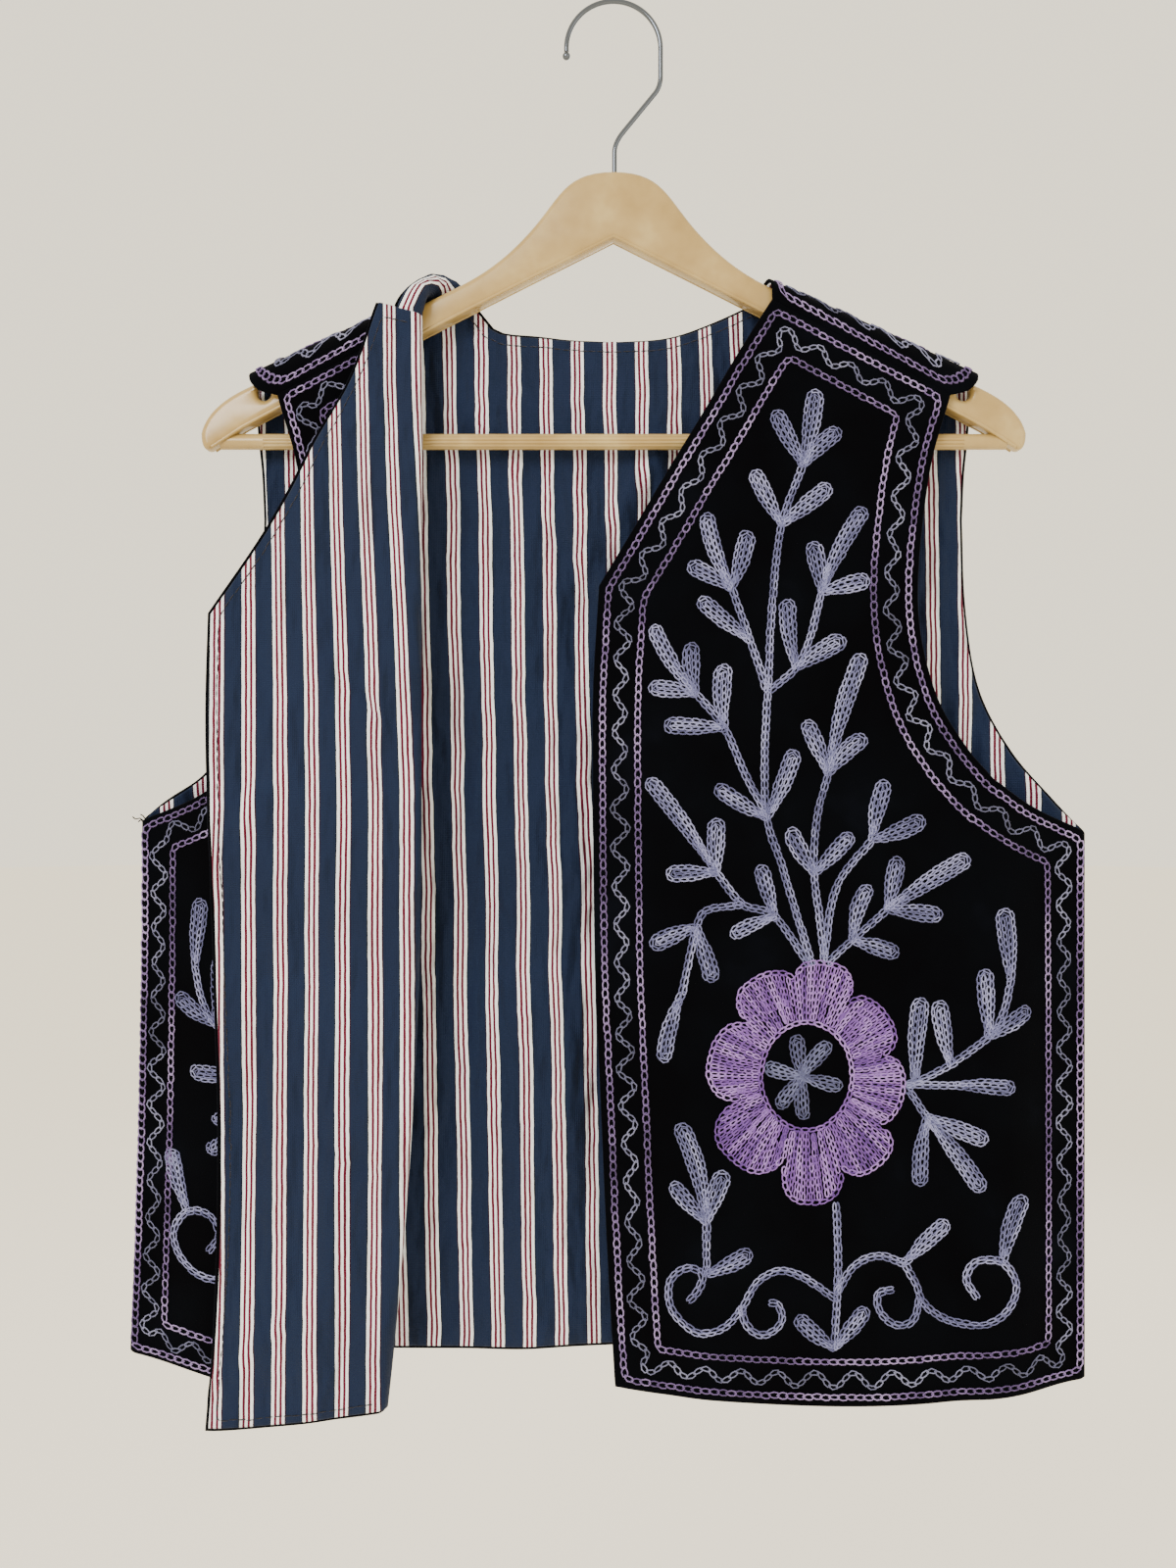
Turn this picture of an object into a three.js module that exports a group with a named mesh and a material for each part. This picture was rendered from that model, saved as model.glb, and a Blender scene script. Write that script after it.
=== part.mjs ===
// Embroidered folk vest of lined velvet, hanging on a moulded suit hanger with
// one front turned back. Millimetres, +Z up. The origin is the inside top of
// the hook's crook, the vest's front faces -Y and its wearer's left is +X.
//
// Each panel is first described flat, as it was cut: x across from the centre
// line and z up. A function then hangs a flat point in space. A shell and its
// lining are walls on the two sides of the same hung surface.

import * as THREE from 'three';

const { clamp, lerp, smoothstep } = THREE.MathUtils;

// ---- Driving dimensions ----------------------------------------------------

const HALF_SPAN = 209.5; // hanger, middle to tip
const HANGER_THICK = 11;
const WIRE = 2.6; // hook wire diameter
const CROOK_RADIUS = 24; // to the middle of the wire
const PEAK_Z = -87; // top of the hanger's body
const ARCH_Z = -121; // underside of the body in the middle
const BAR_RADIUS = 4;
const BAR_Z = -223.5;

const HALF_CHEST = 239; // middle to side seam, as hung
const CHEST_DEPTH = 14; // middle plane to cloth, at the chest
const SHOULDER_DEPTH = 9.5; // the same at the shoulder, over the hanger's arm
const DEPTH_GROWTH = 230; // how far below the shoulder the full depth is reached
const SEAM_RADIUS = 3; // the cloth turns tightly at its side seams
const SEAM_ARC = SEAM_RADIUS * Math.PI / 2;
const SIDE_RUN = 52; // and reaches its full depth this far in from them
const SIDE_CUT = HALF_CHEST + SEAM_ARC - SEAM_RADIUS; // flat, to the side seam
const ARMPIT_Z = -423;
const SIDE_HEM_Z = -699; // lower end of the side seam
const HANG_TOP_Z = -200; // above it the cloth lies on the arm and can't be pulled
const HEM_DIP = 10; // how far a front's hem sags between its corners
const TURNED_HEM_DIP = 6;

const NECK_X = 80; // neck end of the shoulder seam
const SHOULDER_LINE_Z = -152; // at NECK_X: where the cloth starts over the arm
const SHOULDER_SLOPE = 0.455;
const SEAM_Z = -154; // shoulder seam, on the arm's front side, at NECK_X
const SEAM_SLOPE = 0.534;
// Sag of the neckline next to the turned front, growing upwards between two heights.
const NECK_SAG = { x: -62, width: 20, deep: 8, fromZ: -230, toZ: -170, clear: 14 };

const FOLD_X = -101; // where the turned front starts to roll back
const FOLD_RADIUS = 4;
const FOLD_TURN = THREE.MathUtils.degToRad(175);
const FOLD_RUN = { fromZ: -430, toZ: -710, shift: -15.4, power: 1.8 };
const TILT = 0.097; // the turned front hangs lower at its free edge, higher at its side
const ARMPIT_SHARE = 0.42; // of its tilt, already reached at the armpit
const ARMHOLE_SAG = { x: -205, z: -385, width: 26, height: 40, deep: 9, fromSeam: 12 };
const NECK_DROP = { share: 0.31, fromZ: -235, toZ: -165 }; // of the roll, next to the shoulder
const ARM_EASE = { fromShare: 0.55, dropShare: 0.4 }; // where the roll over the arm settles
const SWAY = 6; // how far the turned side swings out at the hem

const SHELL = { near: 0.15, far: 1.35 }; // velvet wall, from the hung surface
const LINING = { near: -1.15, far: -0.15 }; // cotton wall, on the other side
const SEAM_GAP = 0.3;

// ---- Materials ---------------------------------------------------------------

const velvet = new THREE.MeshStandardMaterial({ color: '#07070f', roughness: 0.95, metalness: 0 });
const cotton = new THREE.MeshStandardMaterial({ color: '#27385a', roughness: 0.85, metalness: 0 });
const plastic = new THREE.MeshStandardMaterial({ color: '#cdb588', roughness: 0.3, metalness: 0 });
const chrome = new THREE.MeshStandardMaterial({ color: '#c9ccd1', roughness: 0.12, metalness: 1 });

const vest = new THREE.Group();

function add(name, geometry, material) {
  const mesh = new THREE.Mesh(geometry, material);
  mesh.name = name;
  vest.add(mesh);
  return mesh;
}

// ---- Hanging a flat point ------------------------------------------------------

const shoulderLine = (x) => SHOULDER_LINE_Z - SHOULDER_SLOPE * (Math.abs(x) - NECK_X);
const seamLine = (x) => SEAM_Z - SEAM_SLOPE * (Math.abs(x) - NECK_X);

// How much of the tilt a height has: none at the shoulder, all of it at the hem.
function hangingShare(z) {
  const above = smoothstep(-z, -HANG_TOP_Z, -ARMPIT_Z);
  return lerp(ARMPIT_SHARE * above, 1, smoothstep(-z, -ARMPIT_Z, -SIDE_HEM_Z));
}

// Soft vertical folds of the hung cloth: where the middle is, how far it leans,
// between which heights it shows, how wide and how deep it is.
const FRONT_FOLDS = [
  { x: 60, lean: 0.05, topZ: -330, lowZ: -700, width: 26, deep: 3.5 },
  { x: 128, lean: -0.12, topZ: -300, lowZ: -720, width: 30, deep: -3.0 },
  { x: 196, lean: -0.05, topZ: -440, lowZ: -720, width: 24, deep: 4.0 },
];
const BACK_FOLDS = [
  { x: -118, lean: 0.18, topZ: -220, lowZ: -560, width: 22, deep: -4.0 },
  { x: -40, lean: 0.02, topZ: -380, lowZ: -720, width: 20, deep: -3.5 },
  { x: 26, lean: -0.04, topZ: -300, lowZ: -700, width: 24, deep: 4.0 },
  { x: 96, lean: -0.2, topZ: -200, lowZ: -520, width: 24, deep: -3.5 },
  { x: 160, lean: 0.03, topZ: -460, lowZ: -720, width: 28, deep: 3.5 },
];

function foldDepth(folds, x, z) {
  const nearSeam = 1 - Math.exp(-(((SIDE_CUT - Math.abs(x)) / 30) ** 2));
  let sum = 0;
  for (const fold of folds) {
    const middle = fold.x + fold.lean * (z - fold.topZ);
    const along = smoothstep(fold.topZ - z, 0, 90) * smoothstep(z - fold.lowZ, -60, 60);
    sum += fold.deep * along * Math.exp(-(((x - middle) / fold.width) ** 2));
  }
  return sum * nearSeam;
}

// Body of the vest: flat over most of its width and turned tightly at the side
// seam. facing is -1 on the front and 1 on the back.
function bodyPoint(x, z, facing, folds) {
  const deep = lerp(SHOULDER_DEPTH, CHEST_DEPTH, smoothstep(shoulderLine(x) - z, 0, DEPTH_GROWTH));
  const inward = SIDE_CUT - Math.abs(x) + SEAM_GAP / 2;
  const turn = Math.min(inward, SEAM_ARC) / SEAM_RADIUS;
  const across = inward < SEAM_ARC ? HALF_CHEST - SEAM_RADIUS * (1 - Math.cos(turn)) : Math.abs(x);
  const full = smoothstep(inward, SEAM_ARC, SEAM_ARC + SIDE_RUN);
  const out = SEAM_RADIUS * Math.sin(turn) + (deep - SEAM_RADIUS) * full;
  return new THREE.Vector3(Math.sign(x) * across, facing * (out + foldDepth(folds, x, z)), z);
}

// The turned side (x < 0) is pulled up and out at its side seam.
function swayed(point, x, z, lift) {
  const fallen = Math.max(0, ARMPIT_Z - z) / (ARMPIT_Z - SIDE_HEM_Z);
  point.x -= SWAY * (Math.max(0, -x / SIDE_CUT) * fallen) ** 2;
  point.z += lift * hangingShare(z);
  return point;
}

function leftFrontPoint(x, z) {
  return bodyPoint(x, z, -1, FRONT_FOLDS);
}

// A strip that rolls over: how far it comes across and out, s past the line of
// the fold.
function roll(s, turn) {
  const arc = FOLD_RADIUS * turn;
  const bend = Math.min(s, arc) / FOLD_RADIUS;
  const beyond = Math.max(0, s - arc);
  return {
    across: FOLD_RADIUS * Math.sin(bend) + beyond * Math.cos(turn),
    out: FOLD_RADIUS * (1 - Math.cos(bend)) + beyond * Math.sin(turn),
  };
}

function foldLine(z) {
  const share = clamp((FOLD_RUN.fromZ - z) / (FOLD_RUN.fromZ - FOLD_RUN.toZ), 0, 1.1);
  return FOLD_X + FOLD_RUN.shift * share ** FOLD_RUN.power;
}

const rollDrop = (s, z) =>
  Math.max(0, s) * NECK_DROP.share * smoothstep(z, NECK_DROP.fromZ, NECK_DROP.toZ);

function rightFrontPoint(x, z) {
  const line = foldLine(z);
  const s = x - line;
  const point = bodyPoint(Math.min(x, line), z, -1, FRONT_FOLDS);
  if (s > 0) {
    const rolled = roll(s, FOLD_TURN);
    point.x += rolled.across;
    point.y -= rolled.out;
  }
  point.z -= rollDrop(s, z);
  return swayed(point, Math.min(x, line), z, -TILT * (x - FOLD_X));
}

// Over the hanger's arm the back's roll line runs aslant from the neck edge
// behind the arm to the fold of the turned front.
const ROLL_LINE = [
  { up: 0, x: -74, turn: 0 },
  { up: 7, x: -80, turn: 50 },
  { up: 14, x: -91, turn: 120 },
  { up: 22, x: -98, turn: 165 },
  { up: 31, x: FOLD_X, turn: 175 },
];

function tableAt(table, key, value) {
  const next = table.findIndex((row) => row[key] >= value);
  if (next <= 0) return next < 0 ? table.at(-1) : table[0];
  const [low, high] = [table[next - 1], table[next]];
  const share = (value - low[key]) / (high[key] - low[key]);
  return Object.fromEntries(
    Object.keys(low).map((name) => [name, lerp(low[name], high[name], share)]),
  );
}

// How much cloth lies between the start of the arm and the shoulder seam.
const overArm = (x) => Math.PI * SHOULDER_DEPTH + shoulderLine(x) - seamLine(x);

function armPoint(x, up) {
  const turn = Math.min(up / SHOULDER_DEPTH, Math.PI);
  const past = Math.max(0, up - Math.PI * SHOULDER_DEPTH);
  const z = shoulderLine(x) + SHOULDER_DEPTH * Math.sin(turn) - past;
  return new THREE.Vector3(x, SHOULDER_DEPTH * Math.cos(turn), z);
}

// How far the back's neckline hangs lower next to the turned front.
function neckSag(x, z) {
  const near = Math.exp(-(((x - NECK_SAG.x) / NECK_SAG.width) ** 2));
  const below = smoothstep(shoulderLine(x) - z, 0, NECK_SAG.clear);
  return NECK_SAG.deep * near * below * smoothstep(z, NECK_SAG.fromZ, NECK_SAG.toZ);
}

// The back's armhole edge is pulled down next to the turned front.
function armholeSag(x, z) {
  const across = Math.exp(-(((x - ARMHOLE_SAG.x) / ARMHOLE_SAG.width) ** 2));
  const up = Math.exp(-(((z - ARMHOLE_SAG.z) / ARMHOLE_SAG.height) ** 2));
  const clear = 1 - Math.exp(-(((SIDE_CUT - Math.abs(x)) / ARMHOLE_SAG.fromSeam) ** 2));
  return ARMHOLE_SAG.deep * across * up * clear;
}

function backPoint(x, z) {
  const up = z - shoulderLine(x);
  if (up <= 0) {
    const point = bodyPoint(x, z, 1, BACK_FOLDS);
    if (x >= 0) return point;
    point.z -= neckSag(x, z) + armholeSag(x, z);
    return swayed(point, x, z, TILT * (SIDE_CUT + FOLD_X) * (x / SIDE_CUT) ** 2);
  }
  const line = tableAt(ROLL_LINE, 'up', up);
  const s = x - line.x;
  if (x > 0 || s <= 0) return armPoint(x, up);
  const rolled = roll(s, THREE.MathUtils.degToRad(line.turn));
  const across = line.x + rolled.across;
  const share = clamp(up / overArm(x), 0, 1);
  const point = armPoint(lerp(across, x, smoothstep(share, ARM_EASE.fromShare, 1)), up);
  const facing = Math.min(up / SHOULDER_DEPTH, Math.PI);
  point.x = across;
  point.y += rolled.out * Math.cos(facing);
  point.z += rolled.out * Math.sin(facing);
  point.z -= rollDrop(s, SEAM_Z) * smoothstep(share, ARM_EASE.dropShare, 1);
  return point;
}

// ---- Cutting the panels ----------------------------------------------------------

const topOf = (x) => seamLine(x) - SEAM_GAP; // upper edge of a front

// Rows from the hem to the shoulder. edge: centre-front and neck edge, which on
// the turned front is turned; side: side seam, then armhole.
const FRONT_ROWS = [
  { edgeX: 1, edgeZ: -699, turnedX: 20, turnedZ: -708, sideX: SIDE_CUT, sideZ: SIDE_HEM_Z },
  { edgeX: -3, edgeZ: -629, turnedX: 11, turnedZ: -633, sideX: SIDE_CUT, sideZ: -629 },
  { edgeX: -6, edgeZ: -560, turnedX: 3, turnedZ: -562, sideX: SIDE_CUT, sideZ: -560 },
  { edgeX: -9, edgeZ: -490, turnedX: -5, turnedZ: -491, sideX: SIDE_CUT, sideZ: -490 },
  { edgeX: -10, edgeZ: -412, turnedX: -10, turnedZ: -412, sideX: SIDE_CUT, sideZ: ARMPIT_Z },
  { edgeX: -10, edgeZ: -354, turnedX: -11, turnedZ: -360, sideX: 211, sideZ: -410 },
  { edgeX: -7, edgeZ: -299, turnedX: -10, turnedZ: -312, sideX: 190, sideZ: -396 },
  { edgeX: 11, edgeZ: -269, turnedX: 14, turnedZ: -277, sideX: 175, sideZ: -378 },
  { edgeX: 28, edgeZ: -240, turnedX: 30, turnedZ: -249, sideX: 160, sideZ: -350 },
  { edgeX: 45, edgeZ: -212, turnedX: 44, turnedZ: -219, sideX: 152, sideZ: -306 },
  { edgeX: 62, edgeZ: -183, turnedX: 57, turnedZ: -188, sideX: 158, sideZ: -243 },
  { edgeX: 80, edgeZ: topOf(80), turnedX: 71, turnedZ: topOf(71), sideX: 169, sideZ: topOf(169) },
];

// The back's rows run up its centre line, along the neckline and over the arm.
// The last ones follow the arm, and over is their share of the way to the seam.
const BACK_ROWS = [
  { edgeX: 0, edgeZ: -689, sideX: SIDE_CUT, sideZ: SIDE_HEM_Z, over: 0 },
  { edgeX: 0, edgeZ: -624, sideX: SIDE_CUT, sideZ: -629, over: 0 },
  { edgeX: 0, edgeZ: -556, sideX: SIDE_CUT, sideZ: -560, over: 0 },
  { edgeX: 0, edgeZ: -486, sideX: SIDE_CUT, sideZ: -490, over: 0 },
  { edgeX: 0, edgeZ: -416, sideX: SIDE_CUT, sideZ: ARMPIT_Z, over: 0 },
  { edgeX: 0, edgeZ: -362, sideX: 225, sideZ: -406, over: 0 },
  { edgeX: 0, edgeZ: -312, sideX: 205, sideZ: -381, over: 0 },
  { edgeX: 0, edgeZ: -262, sideX: 189, sideZ: -348, over: 0 },
  { edgeX: 0, edgeZ: -214, sideX: 182, sideZ: -306, over: 0 },
  { edgeX: 0, edgeZ: -170, sideX: 180, sideZ: -262, over: 0 },
  { edgeX: 28, edgeZ: -168, sideX: 181, sideZ: -238, over: 0 },
  { edgeX: 52, edgeZ: -160, sideX: 183, sideZ: -218, over: 0 },
  { edgeX: 74, edgeZ: 0, sideX: 184, sideZ: 0, over: 0, followsArm: true },
  { edgeX: 76, edgeZ: 0, sideX: 184, sideZ: 0, over: 0.22, followsArm: true },
  { edgeX: 78, edgeZ: 0, sideX: 184, sideZ: 0, over: 0.42, followsArm: true },
  { edgeX: 79, edgeZ: 0, sideX: 183, sideZ: 0, over: 0.62, followsArm: true },
  { edgeX: 80, edgeZ: 0, sideX: 178, sideZ: 0, over: 0.82, followsArm: true },
  { edgeX: 80, edgeZ: 0, sideX: 169, sideZ: 0, over: 1, followsArm: true },
];

// Shares of a row's width, close together where the cloth turns at its side.
const SPREAD = [0, 0.006, 0.012, 0.02, 0.06, 0.11, 0.17, 0.24, 0.36, 0.5, 0.66, 0.83, 1];
const BODY_SPREAD = [0, 0.01, 0.02, 0.032, 0.11, 0.21, 0.34, 0.52, 0.75, 1]; // side to fold
const BEND_SPREAD = [0.2, 0.4, 0.6, 0.8, 1]; // over the fold's roll
const FLAP_SPREAD = [0.2, 0.45, 0.72, 1]; // from the fold to the front edge
const ARM_SPREAD = [0, 0.25, 0.45, 0.65, 0.8, 0.92]; // armhole to roll, over the arm
const NECK_SPREAD = [0, 0.17, 0.33, 0.5, 0.66, 0.83, 1]; // roll to neck edge, over the arm

// A flat point of a row, from its side at share 0 to its edge at share 1.
function rowPoint(from, to, share, dip) {
  return {
    x: lerp(from.x, to.x, share),
    z: lerp(from.z, to.z, share) - dip * 4 * share * (1 - share),
  };
}

function halved(rows, spans) {
  return rows.flatMap((row, i) => {
    if (i >= spans) return [row];
    const names = Object.keys(row);
    return [row, Object.fromEntries(names.map((n) => [n, (row[n] + rows[i + 1][n]) / 2]))];
  });
}

// A row's dip grows from none above the waist to all of the hem's.
const WAIST_Z = -480;
const hemShare = (z) => smoothstep(-z, -WAIST_Z, -SIDE_HEM_Z);

function leftFrontGrid() {
  return halved(FRONT_ROWS, 5).map((row) => {
    const side = { x: row.sideX, z: row.sideZ };
    const edge = { x: row.edgeX, z: row.edgeZ };
    const dip = HEM_DIP * hemShare(row.sideZ);
    return SPREAD.map((share) => rowPoint(side, edge, share, dip)).reverse();
  });
}

// The turned front needs columns where it rolls: five over the roll itself.
function rightFrontGrid() {
  const arc = FOLD_RADIUS * FOLD_TURN;
  return halved(FRONT_ROWS, 5).map((row) => {
    const side = { x: -row.sideX, z: row.sideZ };
    const edge = { x: -row.turnedX, z: row.turnedZ };
    const line = foldLine(row.sideZ);
    const shareAt = (x) => (x - side.x) / (edge.x - side.x);
    const shares = [
      ...BODY_SPREAD.map((k) => shareAt(lerp(side.x, line, k))),
      ...BEND_SPREAD.map((k) => shareAt(line + arc * k)),
      ...FLAP_SPREAD.map((k) => shareAt(lerp(line + arc, edge.x, k))),
    ];
    const dip = TURNED_HEM_DIP * hemShare(row.sideZ);
    return shares.map((share) => rowPoint(side, edge, share, dip));
  });
}

// One half of the back, from its armhole side to the centre line or the neck
// edge. On the turned side the columns next to the neck follow the roll line.
function backHalfGrid(mirror) {
  return halved(BACK_ROWS, 4).map((row) => {
    let across = SPREAD.map((share) => lerp(row.sideX, row.edgeX, share));
    if (mirror < 0 && row.over > 0) {
      const middle = (row.sideX + row.edgeX) / 2;
      const start = -tableAt(ROLL_LINE, 'up', row.over * overArm(middle)).x;
      const plain = ARM_SPREAD.map((k) => lerp(row.sideX, start, k));
      across = [...plain, ...NECK_SPREAD.map((k) => lerp(start, row.edgeX, k))];
    }
    return across.map((x) => {
      const share = (x - row.sideX) / (row.edgeX - row.sideX);
      const z = lerp(row.sideZ, row.edgeZ, share);
      const onArm = shoulderLine(x) + row.over * overArm(x);
      return { x: mirror * x, z: row.followsArm ? onArm : z };
    });
  });
}

// ---- From flat grids to walls ------------------------------------------------------

// Welds grids into one surface. Each grid's columns run so that, with its rows
// going up, the quads face outwards.
function hungSurface(grids, hang) {
  const points = [];
  const normals = [];
  const quads = [];
  const known = new Map();
  const step = 0.4;

  function pointIndex({ x, z }) {
    const key = `${x.toFixed(3)} ${z.toFixed(3)}`;
    if (!known.has(key)) {
      const right = hang(x + step, z).sub(hang(x - step, z));
      const up = hang(x, z + step).sub(hang(x, z - step));
      known.set(key, points.length);
      points.push(hang(x, z));
      normals.push(right.cross(up).normalize());
    }
    return known.get(key);
  }

  for (const grid of grids) {
    const rows = grid.map((row) => row.map(pointIndex));
    for (let i = 1; i < rows.length; i++) {
      for (let j = 1; j < rows[i].length; j++) {
        const quad = [rows[i - 1][j - 1], rows[i - 1][j], rows[i][j], rows[i][j - 1]];
        quads.push(quad);
      }
    }
  }
  return { points, normals, quads };
}

function trianglesOf(quads) {
  const triangles = quads.flatMap(([a, b, c, d]) => [[a, b, c], [a, c, d]]);
  return triangles.filter(([a, b, c]) => a !== b && b !== c && c !== a);
}

// A closed wall between two distances from the surface, measured outwards.
function wall({ points, normals, quads }, { near, far }, outward) {
  const count = points.length;
  const vertices = [];
  for (const distance of [near, far]) {
    points.forEach((point, i) => {
      vertices.push(...point.clone().addScaledVector(normals[i], distance * outward));
    });
  }
  const faces = trianglesOf(quads);
  const edges = new Set(faces.flatMap(([a, b, c]) => [`${a},${b}`, `${b},${c}`, `${c},${a}`]));
  const index = [];
  for (const [a, b, c] of faces) {
    index.push(a + count, b + count, c + count, c, b, a);
  }
  for (const edge of edges) {
    const [a, b] = edge.split(',').map(Number);
    if (edges.has(`${b},${a}`)) continue;
    index.push(a, b, b + count, a, b + count, a + count);
  }
  const geometry = new THREE.BufferGeometry();
  geometry.setAttribute('position', new THREE.Float32BufferAttribute(vertices, 3));
  geometry.setIndex(index);
  return geometry;
}

const flipped = (grid) => grid.map((row) => [...row].reverse());

const leftFront = hungSurface([leftFrontGrid()], leftFrontPoint);
const rightFront = hungSurface([rightFrontGrid()], rightFrontPoint);
const back = hungSurface([backHalfGrid(1), flipped(backHalfGrid(-1))], backPoint);

// On the fronts x across and z up give a normal along -Y, which is outwards; on
// the back it is inwards, so its distances are turned round.
add('left_front_shell', wall(leftFront, SHELL, 1), velvet);
add('left_front_lining', wall(leftFront, LINING, 1), cotton);
add('right_front_shell', wall(rightFront, SHELL, 1), velvet);
add('right_front_lining', wall(rightFront, LINING, 1), cotton);
add('back_shell', wall(back, SHELL, -1), velvet);
add('back_lining', wall(back, LINING, -1), cotton);

// ---- Hanger ----------------------------------------------------------------------

// Edges of an arm, from the middle outwards. At its end the arm widens into a
// leaf-shaped tip, whose lowest point is next to its outer end.
const undersideZ = (x) => ARCH_Z - 0.497 * x - 0.00008 * x * x;
const armTop = (x) => -146 - 0.495 * (x - 80);
const ARM_END = { x: 188, z: -217.5 };
const TIP_TOP = { x: 181, z: -194.5 };
const TIP_SIDE_Z = -220;
const TIP_LOW = { x: 204.5, z: -228 };

const NOTCH = { x: 177.5, z: -200, radius: 3.4 }; // for straps, under the cloth

function hangerOutline() {
  const half = new THREE.Path();
  half.moveTo(0, PEAK_Z);
  half.bezierCurveTo(24, PEAK_Z, 27, -99, 40, -114.5);
  half.bezierCurveTo(54, -131, 66, -139, 80, -146);
  half.lineTo(NOTCH.x - NOTCH.radius, armTop(NOTCH.x - NOTCH.radius));
  half.lineTo(NOTCH.x - NOTCH.radius, NOTCH.z);
  half.absarc(NOTCH.x, NOTCH.z, NOTCH.radius, Math.PI, 2 * Math.PI);
  half.lineTo(TIP_TOP.x, TIP_TOP.z);
  half.bezierCurveTo(TIP_TOP.x + 12, TIP_TOP.z - 5, HALF_SPAN - 3, -207, HALF_SPAN, TIP_SIDE_Z);
  half.quadraticCurveTo(HALF_SPAN, TIP_LOW.z - 1, TIP_LOW.x, TIP_LOW.z);
  half.lineTo(ARM_END.x, ARM_END.z);
  for (const x of [160, 120, 80, 40]) half.lineTo(x, undersideZ(x));
  const right = half.getPoints(10);
  const left = right.slice(1).reverse().map((p) => new THREE.Vector2(-p.x, p.y));
  return new THREE.Shape([...right, new THREE.Vector2(0, ARCH_Z), ...left]);
}

function hangerBody() {
  const bevel = 2;
  const geometry = new THREE.ExtrudeGeometry(hangerOutline(), {
    depth: HANGER_THICK - 2 * bevel,
    bevelThickness: bevel,
    bevelSize: bevel,
    bevelOffset: -bevel,
    bevelSegments: 3,
  });
  geometry.translate(0, 0, bevel - HANGER_THICK / 2);
  geometry.rotateX(Math.PI / 2);
  return geometry;
}

// The bar's ends are cut to the slope of the tips' underside.
function trouserBar() {
  const geometry = new THREE.CylinderGeometry(BAR_RADIUS, BAR_RADIUS, 2, 16);
  geometry.rotateZ(Math.PI / 2);
  geometry.translate(0, 0, BAR_Z);
  const slope = (TIP_LOW.x - ARM_END.x) / (ARM_END.z - TIP_LOW.z);
  const position = geometry.attributes.position;
  for (let i = 0; i < position.count; i++) {
    const reach = ARM_END.x + slope * (ARM_END.z - 2 * SEAM_GAP - position.getZ(i));
    position.setX(i, Math.sign(position.getX(i)) * reach);
  }
  return geometry;
}

// Middle line of the hook's wire: crook, drop, slant back to the middle, shank.
const DROP_END_Z = -37;
const SLANT = { topX: 21, topZ: -46, lowX: 5, lowZ: -65.5 };
const SHANK = { x: 0.5, topZ: -76 };
const CROOK_STEPS = 14;

function hookPath() {
  const crookZ = WIRE / 2 - CROOK_RADIUS;
  const slope = (SLANT.topZ - SLANT.lowZ) / (SLANT.topX - SLANT.lowX);
  const at = (x, z) => new THREE.Vector3(x, 0, z);
  const corner = (x) => at(x, SLANT.topZ + slope * (x - SLANT.topX));
  const crook = [];
  for (let k = 0; k <= CROOK_STEPS; k++) {
    const angle = THREE.MathUtils.degToRad(lerp(184, 0, k / CROOK_STEPS));
    crook.push(at(CROOK_RADIUS * Math.cos(angle), crookZ + CROOK_RADIUS * Math.sin(angle)));
  }
  const dropEnd = at(CROOK_RADIUS, DROP_END_Z);
  const slantTop = at(SLANT.topX, SLANT.topZ);
  const slantLow = at(SLANT.lowX, SLANT.lowZ);
  const shankTop = at(SHANK.x, SHANK.topZ);
  const path = new THREE.CurvePath();
  path.add(new THREE.CatmullRomCurve3(crook));
  path.add(new THREE.LineCurve3(at(CROOK_RADIUS, crookZ), dropEnd));
  path.add(new THREE.QuadraticBezierCurve3(dropEnd, corner(CROOK_RADIUS), slantTop));
  path.add(new THREE.LineCurve3(slantTop, slantLow));
  path.add(new THREE.QuadraticBezierCurve3(slantLow, corner(SHANK.x), shankTop));
  path.add(new THREE.LineCurve3(shankTop, at(SHANK.x, PEAK_Z + SEAM_GAP)));
  return path;
}

function tubeAlong(path, steps) {
  const section = new THREE.Shape();
  section.absarc(0, 0, WIRE / 2, 0, 2 * Math.PI);
  return new THREE.ExtrudeGeometry(section, { extrudePath: path, steps, curveSegments: 4 });
}

add('hanger_body', hangerBody(), plastic);
add('trouser_bar', trouserBar(), plastic);
add('hanger_hook', tubeAlong(hookPath(), 48), chrome);

const TIP_BALL = { radius: 2, below: 4 };
const hookTip = add('hook_tip', new THREE.SphereGeometry(TIP_BALL.radius, 12, 8), chrome);
hookTip.position.set(-CROOK_RADIUS, 0, WIRE / 2 - CROOK_RADIUS - TIP_BALL.below);

export default vest;
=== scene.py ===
# %% [markdown]
# # An embroidered folk vest on its hanger
# The real object is a waistcoat of near-black velvet, lined with striped cotton and
# worked in chain stitch. It hangs on a moulded hanger with its right front turned back.
# The script loads the construction model first, because every piece is placed from it.

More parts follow.
